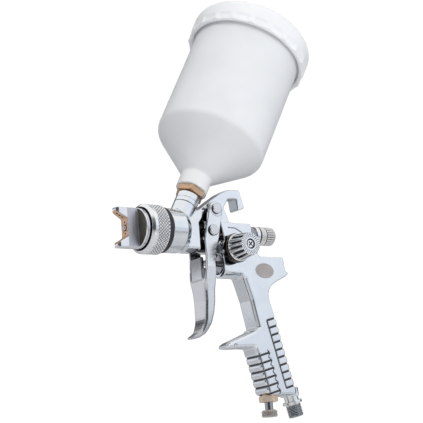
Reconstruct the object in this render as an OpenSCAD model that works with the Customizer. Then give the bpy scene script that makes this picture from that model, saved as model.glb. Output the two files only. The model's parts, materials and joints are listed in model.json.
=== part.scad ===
// Gravity-feed HVLP spray gun. +X is the spray direction, +Y the gun's left side, +Z up.
// The row's origin is the centre of the air inlet's open end. Shapes are drawn about the spray
// axis, with x = 0 at the back of the knurled cap ring, and place() moves them to the origin.

/* [Frame] */
// Distance of the air inlet's open end behind the back of the cap ring
inlet_back = 129; // [128:0.5:130]
// Height of the spray axis above the air inlet's open end
axis_height = 152; // [151.5:0.5:153]

/* [Head] */
// Radius of the barrel
barrel_r = 18.3; // [18:0.1:18.6]
// Radius of the knurled cap ring
ring_r = 20.3; // [20:0.1:21]
// Radius of the air cap's front
cap_r = 16.6; // [16:0.1:16.7]
// Half-width of the air cap's bar and horns
horn_half = 5; // [4:0.25:6]
// Half-thickness of the head across its flats
head_half = 9.75; // [9.5:0.25:10.5]

/* [Body] */
// Half-thickness of the rear body, handle and grip
body_half = 9.5; // [9:0.1:9.7]
// Half-thickness of the hook plate
hook_half = 5.8; // [5:0.2:7]
// Radius of the air valve's housing
housing_r = 12; // [11.5:0.1:12.5]
// Slope of the grip and of the air inlet from upright, in degrees
grip_slope = 15; // [14.5:0.5:15.5]

/* [Trigger] */
// Thickness of the trigger's sheet
sheet_t = 2.5; // [2:0.1:2.5]
// Half-width of the trigger over its arms
arm_out = 12.5; // [12.4:0.1:12.6]

/* [Knobs] */
// Radius of the fan knob's flange
fan_flange_r = 12.3; // [12:0.1:12.8]
// Radius of the fan knob at its outer end
fan_face_r = 9.5; // [9:0.25:10.5]
// Radius of the fluid knob
fluid_knob_r = 7.8; // [7.5:0.1:8.5]
// Radius of the air regulator's knob
regulator_knob_r = 6.5; // [6:0.25:7.5]

/* [Cup and lid] */
// Lean of the cup backwards, in degrees
cup_tilt = 31; // [30:0.5:33]
// Lean of the cup to the gun's right, in degrees
cup_lean = 3.2; // [0:0.4:5.2]
// Outer radius of the cup's wall
cup_r = 46.6; // [45.6:0.2:47]
// Thickness of the cup's wall
cup_wall = 1.6; // [1.2:0.1:2]
// Outer radius of the lid
lid_r = 52.9; // [52.5:0.1:53.5]
// Number of grip lugs round the lid
lid_lugs = 20; // [8:1:24]

/* [Air inlet] */
// Radius of the inlet's thread over its crests, G 1/4
thread_r = 6.5785; // [6.5785]
// Length of the inlet's thread
thread_len = 10.5; // [8:0.5:10.5]

/* [Hidden] */
$fn = 64;

gap = 0.05;                  // radial clearance of a shaft in its hole
over = 1;                    // how far a cut runs past a face
snout_r = 16.2;              // threaded snout that the cap ring screws onto
snout_end = 10;
gasket_x = -5;               // front face of the barrel
barrel_back = -24;
window_front = -36;          // front wall of the slot that the needle pin works in
rear_front = -59;            // front face of the air valve's housing
rear_back = -90;             // rear face of the body behind the needle
pivot = [-52.4, 0, 18.2];    // trigger's pivot
pin_at = [-47.7, 0, 0];      // needle pin, on the spray axis
pin_r = 3;
needle_pin_r = 3.5;
head_r = 4.6;                // round heads of both pins
needle_r = 1.2;
valve_z = -25.6;             // axis of the air valve
valve_stem_r = 2.5;
fan_at = [-68.5, 0, -14.4];  // axis of the fan valve
fan_base = 13;               // where the fan knob's flange starts
fan_end = 34;
regulator_x = -100.7;        // upright axis of the air regulator
grip_bottom = -134.7;
cup_x = -17.55;              // where the cup's axis crosses the spray axis
passage_r = 4;

// Moves shapes drawn about the spray axis to the row's frame
module place() translate([inlet_back, 0, axis_height]) children();

// A cylinder or cone along X from x0 to x1
module along_x(x0, x1, r, r_end = undef, sides = $fn) {
    translate([x0, 0, 0]) rotate([0, 90, 0])
        cylinder(h = x1 - x0, r1 = r, r2 = is_undef(r_end) ? r : r_end, $fn = sides);
}

// A cylinder or cone along Y from y0 to y1
module along_y(y0, y1, r, r_end = undef) {
    translate([0, y0, 0]) rotate([-90, 0, 0])
        cylinder(h = y1 - y0, r1 = r, r2 = is_undef(r_end) ? r : r_end);
}

// A ring along Z from z0 to z1
module ring(z0, z1, r, bore) {
    translate([0, 0, z0]) difference() {
        cylinder(h = z1 - z0, r = r);
        translate([0, 0, -over]) cylinder(h = z1 - z0 + 2 * over, r = bore);
    }
}

// A plate across Y whose outline is drawn in X and Z
module side_plate(half, points) {
    rotate([90, 0, 0]) linear_extrude(2 * half, center = true) polygon(points);
}

// The cup's axis as Z, from where it crosses the spray axis
module on_cup_axis() translate([cup_x, 0, 0]) rotate([cup_lean, -cup_tilt, 0]) children();

// The air inlet's axis as Z, from its open end up into the grip
module on_inlet_axis() {
    translate([-inlet_back, 0, -axis_height]) rotate([0, grip_slope, 0]) children();
}

// A hexagonal prism along Z
module hex(z0, z1, across_flats) {
    translate([0, 0, z0]) cylinder(h = z1 - z0, r = across_flats / sqrt(3), $fn = 6);
}

// A coil spring along Z, as a tube swept along a helix
module coil(length, coil_r, wire_r, turns) {
    steps = 14;
    sides = 6;
    rings = turns * steps;
    function spot(i, j) = let(
        a = 360 * i / steps,
        b = 360 * j / sides,
        rise = wire_r + (length - 2 * wire_r) * i / rings
    ) [(coil_r + wire_r * cos(b)) * cos(a), (coil_r + wire_r * cos(b)) * sin(a), rise + wire_r * sin(b)];
    polyhedron(
        points = [for (i = [0:rings], j = [0:sides - 1]) spot(i, j)],
        faces = concat(
            [[for (j = [0:sides - 1]) j]],
            [for (i = [0:rings - 1], j = [0:sides - 1]) [
                i * sides + j, (i + 1) * sides + j,
                (i + 1) * sides + (j + 1) % sides, i * sides + (j + 1) % sides
            ]],
            [[for (j = [sides - 1:-1:0]) rings * sides + j]]
        )
    );
}

// ---- gun body ----

module head_shape() {
    along_x(barrel_back, gasket_x, barrel_r);
    along_x(gasket_x - over, snout_end, snout_r);
    // Head block: a cylinder with two flats, its rear cut to the slot's front wall and sill
    intersection() {
        along_x(-60, barrel_back + over, 18);
        side_plate(head_half, [
            [-23, -19], [-60, -19], [-60, -16], [window_front, -16], [window_front, 6],
            [-41, 11], [-46, 19], [-23, 19]
        ]);
    }
    on_cup_axis() translate([0, 0, 8]) cylinder(h = 21.5, r = 9.8);
}

module hook_shape() {
    side_plate(hook_half, [
        [-30, 8.5], [-30, 15], [-39.6, 18.1], [-51.5, 26], [-62.5, 33.1], [-70.1, 36.6], [-82.7, 37.4],
        [-84.3, 31.5], [-87, 21.8], [-79.9, 19.3], [-78.8, 29.5], [-70.4, 28.9], [-65, 20.9],
        [-67.2, 16.8], [-69.6, 10.2], [-69.6, 4], [-62, 4], [-57.5, 8.5]
    ]);
    translate(pivot) along_y(-9.8, 9.8, 6.5);
}

module rear_shape() {
    // Web under the needle pin's slot, between the head and the rear body
    side_plate(5, [[-35, -17], [-60, -17], [-60, -6.8], [-35, -6.8]]);
    // Rear body, palm rest and handle share one side outline
    side_plate(body_half, [
        [-57.5, 8.2], [-88.6, 8.2], [rear_back, 5], [rear_back, -8], [-96.4, -19.3], [-121.1, -18.7],
        [-122.5, -30.6], [-125.6, -32.2], [-122.6, -35.3], [-113.5, -39.4], [-105.6, -43.9],
        [-102.3, -50], [-103.2, -56.7], [-107.6, -70.9], [-112.5, -89], [-90.5, -89],
        [-89.3, -79.6], [-84.3, -56.4], [-80.6, -45], [-77, -34], [rear_front, -33],
        [rear_front, -9], [-61, -7]
    ]);
    translate([0, 0, valve_z]) intersection() {
        along_x(-82, rear_front, housing_r);
        cube([200, 2 * body_half, 40], center = true);
    }
    // Finger rest under the trigger's guard space
    side_plate(7.5, [
        [-88, -80], [-76, -85.5], [-61, -91], [-57, -93.6], [-57.7, -96], [-63, -96.3], [-90, -95.2]
    ]);
    translate(fan_at) along_y(5, fan_base - 0.1, 9);
}

// Cross-section of the grip, with rounded corners
module grip_section() {
    long = 17;
    corner = 5;
    square([2 * long, 2 * (body_half - corner)], center = true);
    square([2 * (long - corner), 2 * body_half], center = true);
    for (sx = [-1, 1], sy = [-1, 1])
        translate([sx * (long - corner), sy * (body_half - corner)]) circle(r = corner);
}

module grip_shape() {
    intersection() {
        side_plate(body_half + over, [
            [-87.4, -80], [-84.3, -95.2], [-94.2, -133.1], [-94.2, grip_bottom], [-125, grip_bottom],
            [-123.3, -129.2], [-108.5, -74]
        ]);
        on_inlet_axis() translate([15.5, 0, 10]) linear_extrude(80) grip_section();
    }
    on_inlet_axis() translate([0, 0, 13.5]) cylinder(h = 10, r = 8.4);
}

// Grooves across the back of the grip
module back_grooves() {
    pitch = 6.6;
    depth = 1.6;
    for (i = [0:8]) on_inlet_axis()
        translate([-0.4, 0, 26 + i * pitch]) cube([2 * depth, 30, 1.6], center = true);
}

module body_bores() {
    // Spray axis: nozzle thread, paint way, packing, needle guide, collar recess and spring chamber
    difference() {
        along_x(-3, snout_end + over, 13.5);
        along_x(-4, 0, 7.5);
    }
    along_x(-16, over, 5 + gap);
    along_x(-26, -15, 3.5);
    along_x(window_front - over, -26, 4 + gap);
    along_x(-63, rear_front + 6, 4.2);
    along_x(-68, -62, needle_r + 0.4);
    along_x(rear_back - over, -67, 5.6);
    along_x(rear_back - over, -83.9, 6 + gap);
    // Paint inlet from the cup
    on_cup_axis() cylinder(h = 30, r = passage_r);
    on_cup_axis() translate([0, 0, 20]) cylinder(h = 12, r = 6.5 + gap);
    // Air valve: recess, gland, chamber and spring bore
    translate([0, 0, valve_z]) {
        along_x(-63.5, rear_front + over, 8.8);
        along_x(-97, -60, 6 + gap);
        along_x(-112, -96, 5);
    }
    // Trigger pivot and fan valve
    translate(pivot) along_y(-over - 10, 10 + over, pin_r + gap);
    translate(fan_at) along_y(-4, fan_base + over, 4.5 + gap);
    // Air way: inlet, slanted way to the regulator and up the handle to the valve
    on_inlet_axis() translate([0, 0, 13]) cylinder(h = 9.1, r = 6 + gap);
    translate([-124, 0, -133.5]) rotate([0, 47.3, 0]) cylinder(h = 31.5, r = 3);
    translate([regulator_x, 0, grip_bottom - over]) cylinder(h = 11, r = 5 + gap);
    translate([regulator_x, 0, grip_bottom]) cylinder(h = 28, r = 3.5);
    translate([regulator_x, 0, -111]) rotate([0, 6.4, 0]) cylinder(h = 82, r = 3.4);
    translate([-66, 0, -93.5]) along_y(3, 8.5, 1 + gap);
}

module gun_body() {
    color("lightsteelblue") place() difference() {
        union() {
            head_shape();
            hook_shape();
            rear_shape();
            grip_shape();
        }
        body_bores();
        back_grooves();
    }
}

// ---- pieces fixed to the body ----

module fluid_nozzle() {
    color("silver") place() difference() {
        union() {
            along_x(-15.5, over, 5);
            along_x(0, 5, 8.9, sides = 6);
            along_x(5, 11, 8);
            along_x(11, 19, 8, 3.2);
            along_x(19, 27, 3.2, 1.9);
            along_x(27, 31.4, 1.9);
        }
        along_x(-16.5, 14, 3);
        along_x(14, 24, 3, 1.4);
        along_x(24 - 0.1, 27.2, 1.4);
        along_x(27.1, 30.7, 1.4, 0.75);
        along_x(30, 32, 0.75);
    }
}

module air_distributor() {
    color("dimgray") place() difference() {
        along_x(-2.9, 5, 13.4);
        along_x(-4, 6, 9.2);
        for (a = [0:45:315]) rotate([a, 0, 0]) translate([0, 0, 11.3]) along_x(-4, 6, 1.2);
    }
}

module head_gasket() {
    color("black") place() rotate([0, 90, 0]) ring(gasket_x + 0.05, -0.1, 18.7, snout_r + 0.1);
}

module inlet_adapter() {
    color("silver") place() on_cup_axis() difference() {
        union() {
            translate([0, 0, 20.1]) cylinder(h = 10, r = 6.5);
            translate([0, 0, 29.6]) cylinder(h = 6, r = 9.8);
            translate([0, 0, 35]) cylinder(h = 13.9, r = 6.95);
        }
        translate([0, 0, 19]) cylinder(h = 31, r = passage_r);
    }
}

module needle_packing() {
    color("white") place() rotate([0, 90, 0]) ring(-29.5, -26.1, 4, needle_r + 0.06);
}

module packing_nut() {
    color("goldenrod") place() difference() {
        union() {
            along_x(window_front - 0.5, -29.6, 4);
            along_x(-43.2, window_front - 0.05, 5.8, sides = 6);
        }
        along_x(-44, -29, needle_r + 0.1);
    }
}

// Round-headed pin across the arms, and the nut on its far end
module headed_pin(r) {
    along_y(-arm_out - 2, arm_out + 0.1, r);
    along_y(arm_out + 0.1, arm_out + 1.5, head_r);
    along_y(arm_out + 1.5, arm_out + 2.2, head_r, head_r - 0.8);
}

module pin_nut(r) {
    difference() {
        along_y(-arm_out - 2.1, -arm_out - 0.1, head_r);
        along_y(-arm_out - 3, -arm_out, r + 0.02);
    }
}

module pivot_pin() {
    color("gainsboro") place() translate(pivot) headed_pin(pin_r);
}

module pivot_nut() {
    color("gainsboro") place() translate(pivot) pin_nut(pin_r);
}

module fan_valve_bush() {
    color("goldenrod") place() translate(fan_at) difference() {
        along_y(5, fan_base - 0.1, 4.5);
        along_y(4, fan_base + over, 2.5 + gap);
    }
}

module air_valve_nut() {
    color("dimgray") place() translate([0, 0, valve_z]) difference() {
        union() {
            along_x(-70, -63, 6);
            along_x(-63.4, -60, 7.5, sides = 6);
        }
        along_x(-71, rear_front, valve_stem_r + gap);
    }
}

module air_valve_packing() {
    color("white") place() translate([0, 0, valve_z]) rotate([0, 90, 0])
        ring(-73, -70.1, 5.95, valve_stem_r + 0.06);
}

module air_valve_seat() {
    color("goldenrod") place() translate([0, 0, valve_z]) rotate([0, 90, 0])
        ring(-79, -75.5, 5.95, 3.6);
}

module fluid_bush() {
    color("silver") place() difference() {
        union() {
            along_x(-91, -84, 6);
            along_x(-97.5, rear_back, 6.8);
            along_x(-101.3, -97.4, 7.6);
        }
        along_x(-102.3, -83, 4 + gap);
    }
}

module regulator_nut() {
    color("silver") place() translate([regulator_x, 0, 0]) difference() {
        union() {
            rotate([0, 0, 14]) hex(-139.8, grip_bottom - 0.1, 14);
            translate([0, 0, grip_bottom - 0.5]) cylinder(h = 10, r = 5);
        }
        translate([0, 0, -140.5]) cylinder(h = 17, r = 3.4 + gap);
    }
}

module air_inlet() {
    color("silver") place() on_inlet_axis() difference() {
        union() {
            cylinder(h = thread_len, r = thread_r);
            translate([0, 0, thread_len]) cylinder(h = 13.4 - thread_len, r = 8.2);
            translate([0, 0, 13]) cylinder(h = 9, r = 6);
        }
        translate([0, 0, -over]) cylinder(h = 25, r = passage_r);
    }
}

module spur_screw() {
    color("dimgray") place() translate([-66, 0, -93.5]) difference() {
        along_y(3.1, 7.4, 1);
        translate([0, 6.2, 0]) rotate([-90, 0, 0]) cylinder(h = 2, r = 0.5, $fn = 6);
    }
}

// ---- cap ring and air cap ----

module cap_ring() {
    color("silver") place() difference() {
        union() {
            along_x(0, 14.4, ring_r);
            along_x(14.4, 16.5, ring_r, 17.9);
        }
        along_x(-over, 10.5, snout_r + gap);
        along_x(10.4, 13.5, 18.5);
        along_x(13, 18, cap_r + 0.3);
        along_x(15.3, 18, 17.7);
    }
}

module retaining_wire() {
    color("gray") place() translate([16, 0, 0]) rotate([0, 90, 0])
        rotate_extrude() translate([17.2, 0]) circle(r = 0.42, $fn = 16);
}

module air_cap() {
    color("peru") place() difference() {
        union() {
            along_x(10.6, 13.3, 18.4);
            along_x(10.6, 21, cap_r);
            intersection() {
                along_x(20, 41, cap_r);
                side_plate(horn_half, [
                    [20, -17], [20, 17], [38.3, 17], [40.3, 15], [40.3, 12.8], [31, 7.6],
                    [31, -7.6], [40.3, -12.8], [40.3, -15], [38.3, -17]
                ]);
            }
        }
        along_x(10, 19.4, 13.5, 4.3);
        along_x(19.3, 27, 4.3, 3);
        along_x(26, 32, 2.6);
        // Jet holes: two beside the nozzle, three in each horn
        for (s = [-1, 1]) {
            translate([0, 0, 4.4 * s]) along_x(18.8, 32, 0.5);
            for (x = [32.4, 34.9, 37.4])
                translate([x, 0, s * (9.5 + 0.55 * (x - 32.4))]) rotate([0, s * 50, 0])
                    cylinder(h = 5, r = 0.6, center = true);
        }
    }
}

// ---- trigger and needle pin ----

// Half-widths of the trigger seen from the front, from its arms to its tip
function trigger_front(inset) = [
    [arm_out - inset, 30], [arm_out - inset, -30], [11.4 - inset, -40], [10 - inset, -50],
    [9.2 - inset, -62], [8.5 - inset, -76], [6.5 - inset, -90]
];

module front_prism(inset) {
    right = trigger_front(inset);
    left = [for (i = [len(right) - 1:-1:0]) [-right[i][0], right[i][1]]];
    rotate([90, 0, 90]) linear_extrude(200, center = true) polygon(concat(right, left));
}

module trigger() {
    color("lightsteelblue") place() difference() {
        intersection() {
            union() {
                side_plate(arm_out, [
                    [-47.3, 22], [-44.7, 15.8], [-41.5, 3.9], [-38.4, -8.7], [-39.2, -21.1],
                    [-38.3, -31.9], [-36.8, -41], [-37.4, -58], [-36.4, -75], [-32.6, -83],
                    [-25.6, -87], [-26, -88.6], [-31.5, -88], [-38.4, -84.2], [-43.6, -76.4], [-46.4, -68],
                    [-48, -58], [-48.3, -42], [-47.8, -26.5], [-49.8, -16.5], [-52.6, -8],
                    [-56.1, 7.2], [-58.4, 15.7], [-57.5, 22]
                ]);
                translate(pivot) along_y(-arm_out, arm_out, 6.2);
                side_plate(7.5, [[-36.2, -22], [-36.2, -30], [-36.8, -41], [-40, -41], [-40, -22]]);
            }
            front_prism(0);
        }
        // The space between the arms and behind the web
        intersection() {
            front_prism(sheet_t);
            side_plate(arm_out, [
                [-70, 30], [-20, 30], [-20, -22], [-38.6, -22], [-38.6, -30], [-39.2, -41],
                [-39.8, -58], [-38.8, -75], [-35.2, -82.6], [-31, -85.4], [-34, -95], [-70, -95]
            ]);
        }
        // Gaps between the web's top and the arms
        for (s = [-1, 1]) translate([-37, s * 8.75, -25]) cube([8, sheet_t, 12], center = true);
        translate(pivot) along_y(-arm_out - over, arm_out + over, pin_r + gap);
        translate(pin_at) along_y(-arm_out - over, arm_out + over, needle_pin_r + gap);
    }
}

module needle_pin() {
    color("gainsboro") place() translate(pin_at) difference() {
        headed_pin(needle_pin_r);
        along_x(-needle_pin_r - over, needle_pin_r + over, 2.1);
    }
}

module needle_pin_nut() {
    color("gainsboro") place() translate(pin_at) pin_nut(needle_pin_r);
}

// ---- needle, air valve and their springs ----

module needle() {
    color("silver") place() union() {
        along_x(27, 30.6, needle_r, 0.6);
        along_x(-86, 27, needle_r);
        along_x(-70, -68.2, 4.8);
    }
}

module needle_collar() {
    color("goldenrod") place() rotate([0, 90, 0]) ring(-55.5, -51.5, 3.2, needle_r + 0.02);
}

module needle_spring() {
    color("gray") place() translate([-87.9, 0, 0]) rotate([0, 90, 0]) coil(17.8, 3.5, 0.5, 7);
}

module air_valve_stem() {
    color("silver") place() translate([0, 0, valve_z]) {
        along_x(-40.3, -38.8, valve_stem_r, 1.2);
        along_x(-80, -40.3, valve_stem_r);
        along_x(-84, -79.1, 4.7);
    }
}

module air_valve_spring() {
    color("gray") place() translate([-111.8, 0, valve_z]) rotate([0, 90, 0]) coil(27.7, 3.8, 0.55, 8);
}

// ---- knobs ----

module fluid_knob() {
    color("dimgray") place() difference() {
        union() {
            along_x(-103, -88, 4);
            along_x(-116, -102.2, fluid_knob_r);
            along_x(-117.8, -116, fluid_knob_r - 1.8, fluid_knob_r);
        }
        along_x(-100, -87, needle_r + 0.4);
        for (a = [0:15:345]) rotate([a, 0, 0]) translate([0, 0, fluid_knob_r + 0.35])
            along_x(-118, -108, 0.75, sides = 16);
    }
}

module fan_knob() {
    color("dimgray") place() translate(fan_at) difference() {
        union() {
            along_y(fan_base, fan_base + 4, fan_flange_r);
            along_y(fan_base + 4, fan_end, 11.6, fan_face_r);
        }
        along_y(fan_base - over, 31.3, 2.5 + 0.02);
        along_y(31.2, fan_end + over, 4.2);
        for (i = [0:13]) rotate([0, i * 360 / 14, 0]) translate([0, 0, 14]) rotate([-7, 0, 0])
            along_y(fan_base + 6, fan_end + 3, 1.5);
    }
}

module fan_knob_screw() {
    color("silver") place() translate(fan_at) difference() {
        union() {
            along_y(31.3, 33.7, 3.4);
            along_y(23, 31.4, 1.2);
        }
        for (a = [0, 90]) translate([0, 33.4, 0]) rotate([0, a + 20, 0]) cube([3.6, 2, 0.8], center = true);
    }
}

module fan_knob_seal() {
    color("black") place() translate(fan_at) difference() {
        along_y(31.4, 33.6, 4.1);
        along_y(31, 34, 3.45);
    }
}

module fan_valve_stem() {
    color("silver") place() translate(fan_at) difference() {
        union() {
            along_y(0, 31.2, 2.5);
            along_y(-3.5, 0, 0.8, 2.5);
        }
        along_y(22, 32, 1.2 + 0.02);
    }
}

module regulator_stem() {
    color("silver") place() translate([regulator_x, 0, 0]) {
        translate([0, 0, -149]) cylinder(h = 25, r = 3.4);
        translate([0, 0, -124.5]) cylinder(h = 10, r = 2.4);
        translate([0, 0, -114.5]) cylinder(h = 3, r1 = 2.4, r2 = 0.8);
    }
}

module regulator_knob() {
    color("gray") place() translate([regulator_x, 0, 0]) difference() {
        union() {
            translate([0, 0, -axis_height]) cylinder(h = 4.6, r = regulator_knob_r);
            translate([0, 0, -147.4]) cylinder(h = 1.2, r1 = regulator_knob_r, r2 = 5);
        }
        translate([0, 0, -149.1]) cylinder(h = 5, r = 3.4 + 0.02);
        for (a = [0:20:340]) rotate([0, 0, a]) translate([regulator_knob_r + 0.4, 0, -153])
            cylinder(h = 6, r = 0.9, $fn = 16);
    }
}

// ---- cup and lid, along the cup's axis ----

cone_start = 54.8;           // where the neck opens into the cone
shoulder_t = 90.1;           // where the cone's line meets the wall's
neck_r = 13.1;
shoulder_round = 6.8;
cone_angle = atan2(shoulder_t - cone_start, cup_r - neck_r);
shoulder_c = [cup_r - shoulder_round, shoulder_t + shoulder_round * tan((90 - cone_angle) / 2)];
rim_top = 204.5;

function shoulder_arc(r) = [
    for (i = [0:6]) let(a = -(90 - cone_angle) * (1 - i / 6)) shoulder_c + r * [cos(a), sin(a)]
];

module cup() {
    outer = shoulder_arc(shoulder_round);
    inner = shoulder_arc(shoulder_round - cup_wall);
    outside = concat(
        [[neck_r, 41.3], [neck_r, cone_start]], outer,
        [[cup_r, 190], [48.2, 191.5], [48.2, 203], [47.2, rim_top], [cup_r - cup_wall, rim_top]]
    );
    inside = concat([for (i = [6:-1:0]) inner[i]], [[9.1, 53.9], [9.1, 41.3]]);
    color("gainsboro") place() on_cup_axis() rotate_extrude($fn = 96) polygon(concat(outside, inside));
}

module cup_nut() {
    color("peru") place() on_cup_axis() difference() {
        union() {
            hex(35.7, 41.2, 21.5);
            translate([0, 0, 41]) cylinder(h = 12.8, r = 9);
        }
        translate([0, 0, 35]) cylinder(h = 15.5, r = 7);
        translate([0, 0, 50]) cylinder(h = 5, r = 4.2);
    }
}

module cup_gasket() {
    color("white") place() on_cup_axis() ring(49, 50.4, 6.9, 4.3);
}

module paint_strainer() {
    color("white") place() on_cup_axis() difference() {
        union() {
            translate([0, 0, 53.9]) cylinder(h = 1.5, r = 8.6);
            translate([0, 0, 55]) cylinder(h = 30, r = 6.2);
        }
        translate([0, 0, 53]) cylinder(h = 31, r = 5.2);
        for (a = [0:60:300], t = [58, 67, 76]) rotate([0, 0, a]) translate([5.7, 0, t + 3.5])
            cube([3, 3.4, 6.5], center = true);
    }
}

lid_top = 210.9;
lid_round = 9;               // rounding of the lid's top edge
lid_edge = [for (a = [0:15:90]) [lid_r - lid_round * (1 - cos(a)), lid_top - lid_round * (1 - sin(a))]];

module lid() {
    color("whitesmoke") place() on_cup_axis() difference() {
        union() {
            rotate_extrude($fn = 96) polygon([
                [0, 206], [48.6, 206], [48.6, 186.7], [lid_r - 1.4, 186.7], [lid_r - 1.4, 192.7],
                [lid_r, 193.6], each lid_edge, [0, lid_top]
            ]);
            for (i = [0:lid_lugs - 1]) rotate([0, 0, i * 360 / lid_lugs])
                translate([lid_r - 2, -2.5, 187.2]) cube([2, 5, 6.2]);
        }
        translate([0, 0, lid_top - 1.6]) cylinder(h = 3, r = 6);
        translate([0, 0, 205]) cylinder(h = 6, r = 1.5);
    }
}

module lid_gasket() {
    color("gainsboro") place() on_cup_axis() ring(204.55, 205.95, 47.9, 45.2);
}

module vent_plug() {
    color("dimgray") place() on_cup_axis() difference() {
        translate([0, 0, lid_top - 1.55]) cylinder(h = 2.5, r = 5.9);
        translate([0, 0, lid_top - 2]) cylinder(h = 4, r = 0.9);
    }
}

gun_body();
fluid_nozzle();
air_distributor();
head_gasket();
inlet_adapter();
needle_packing();
packing_nut();
pivot_pin();
pivot_nut();
fan_valve_bush();
air_valve_nut();
air_valve_packing();
air_valve_seat();
fluid_bush();
regulator_nut();
air_inlet();
spur_screw();
cap_ring();
retaining_wire();
air_cap();
trigger();
needle_pin();
needle_pin_nut();
needle();
needle_collar();
needle_spring();
air_valve_stem();
air_valve_spring();
fluid_knob();
fan_knob();
fan_knob_screw();
fan_knob_seal();
fan_valve_stem();
regulator_stem();
regulator_knob();
cup();
cup_nut();
cup_gasket();
paint_strainer();
lid();
lid_gasket();
vent_plug();
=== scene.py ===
"""The finished look of a gravity-feed HVLP spray gun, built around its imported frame.

Lengths are millimetres in the gun's own frame: x runs along the spray axis from 0 at the back of
the knurled cap ring, y to the gun's left and z up. to_row() turns them into the row's metres.
"""
import json
import math

import bpy
import numpy as np
from mathutils import Matrix, Vector

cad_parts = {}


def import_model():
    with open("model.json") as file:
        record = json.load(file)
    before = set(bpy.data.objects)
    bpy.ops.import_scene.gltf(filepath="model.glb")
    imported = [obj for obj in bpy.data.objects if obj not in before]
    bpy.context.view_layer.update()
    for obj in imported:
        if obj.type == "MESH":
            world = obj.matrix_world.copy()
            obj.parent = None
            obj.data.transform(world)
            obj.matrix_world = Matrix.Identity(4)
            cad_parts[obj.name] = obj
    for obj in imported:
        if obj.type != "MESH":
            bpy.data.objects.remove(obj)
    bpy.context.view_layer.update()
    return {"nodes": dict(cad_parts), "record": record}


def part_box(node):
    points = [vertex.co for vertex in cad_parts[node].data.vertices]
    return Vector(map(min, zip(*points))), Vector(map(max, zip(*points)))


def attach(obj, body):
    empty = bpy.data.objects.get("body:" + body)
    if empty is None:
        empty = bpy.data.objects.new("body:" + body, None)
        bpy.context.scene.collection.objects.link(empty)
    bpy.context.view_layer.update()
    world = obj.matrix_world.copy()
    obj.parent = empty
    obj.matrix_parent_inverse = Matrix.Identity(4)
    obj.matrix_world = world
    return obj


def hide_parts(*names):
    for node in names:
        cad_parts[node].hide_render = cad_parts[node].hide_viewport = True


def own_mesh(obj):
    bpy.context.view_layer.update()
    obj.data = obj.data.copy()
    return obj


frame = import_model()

RING_LOW, RING_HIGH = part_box("cap_ring")
ORIGIN = Vector((RING_LOW.x, (RING_LOW.y + RING_HIGH.y) / 2, (RING_LOW.z + RING_HIGH.z) / 2))
MM = 0.001
X, Y, Z = Vector((1, 0, 0)), Vector((0, 1, 0)), Vector((0, 0, 1))
CENTRE = (0, 0, 0)

# ---- places and sizes shared by several pieces ----

PIVOT = Vector((-52.4, 0, 18.2))
NEEDLE_PIN = Vector((-47.7, 0, 0))
FAN = Vector((-68.5, 0, -14.4))
VALVE = Vector((0, 0, -25.6))
REGULATOR = Vector((-100.7, 0, 0))
INLET = Vector((-129, 0, -152))
GRIP_SLOPE = math.radians(15)
INLET_AXIS = Vector((math.sin(GRIP_SLOPE), 0, math.cos(GRIP_SLOPE)))
CUP = Vector((-17.55, 0, 0))
CUP_TILT, CUP_LEAN = math.radians(31), math.radians(3.2)
CUP_AXIS = Vector((
    -math.sin(CUP_TILT) * math.cos(CUP_LEAN), -math.sin(CUP_LEAN),
    math.cos(CUP_TILT) * math.cos(CUP_LEAN),
))
BODY_HALF = 9.5
HOOK_HALF = 5.8
ARM_OUT = 12.5


def to_row(points):
    """Points in the gun's frame, in millimetres, as metres in the row frame."""
    return np.asarray(points, float) * MM + np.array(ORIGIN)


# ---- materials ----

def new_material(name):
    mat = bpy.data.materials.new(name)
    mat.use_nodes = True
    nodes, links = mat.node_tree.nodes, mat.node_tree.links
    return mat, nodes, links, nodes["Principled BSDF"]


def noise(nodes, links, scale, detail=4.0):
    """A noise texture in object space; scale is in cells a metre."""
    coords = nodes.new("ShaderNodeTexCoord")
    tex = nodes.new("ShaderNodeTexNoise")
    tex.inputs["Scale"].default_value = scale
    tex.inputs["Detail"].default_value = detail
    links.new(coords.outputs["Object"], tex.inputs["Vector"])
    return tex.outputs["Fac"]


def ramp(nodes, links, source, low, high, at=(0.35, 0.65)):
    """Turns a 0 to 1 value into a colour or a grey between low and high."""
    node = nodes.new("ShaderNodeValToRGB")
    for stop, place, value in zip(node.color_ramp.elements, at, (low, high)):
        stop.position = place
        stop.color = (*value, 1) if isinstance(value, tuple) else (value, value, value, 1)
    links.new(source, node.inputs["Fac"])
    return node.outputs["Color"]


def bump(nodes, links, shader, height, depth):
    """Bumps a shader by height; depth is in metres."""
    node = nodes.new("ShaderNodeBump")
    node.inputs["Strength"].default_value = 1.0
    node.inputs["Distance"].default_value = depth
    links.new(height, node.inputs["Height"])
    links.new(node.outputs["Normal"], shader.inputs["Normal"])


STAIN = 60  # cells a metre of the slow drift in a metal's colour
# The colour that painted shade darkens a metal towards, in grooves, creases, gaps and holes
PAINTED_SHADE_COLOUR = (0.09, 0.09, 0.10)


def metal(name, low, high, rough, grain=900, ripple=0.0):
    """A metal: its colour drifts between low and high, and its roughness between those of rough.

    Grain is in cells a metre, and ripple is how deep it bumps, in metres. Where a mesh carries an
    attribute of painted shade, the metal is darkened there with painted shade, as in the bottoms of
    grooves.
    """
    mat, nodes, links, shader = new_material(name)
    shader.inputs["Metallic"].default_value = 1.0
    drift = noise(nodes, links, STAIN, 3.0)
    # Painted shade stored on the mesh mixes the metal's colour towards that shade colour
    painted_shade = nodes.new("ShaderNodeAttribute")
    painted_shade.attribute_name = "painted_shade"
    shade = nodes.new("ShaderNodeMix")
    shade.data_type = "RGBA"
    links.new(painted_shade.outputs["Fac"], shade.inputs["Factor"])
    links.new(ramp(nodes, links, drift, low, high), shade.inputs[6])
    shade.inputs[7].default_value = (*PAINTED_SHADE_COLOUR, 1)
    links.new(shade.outputs[2], shader.inputs["Base Color"])
    grit = noise(nodes, links, grain, 6.0)
    links.new(ramp(nodes, links, grit, *rough), shader.inputs["Roughness"])
    if ripple:
        bump(nodes, links, shader, grit, ripple)
    return mat


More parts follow.
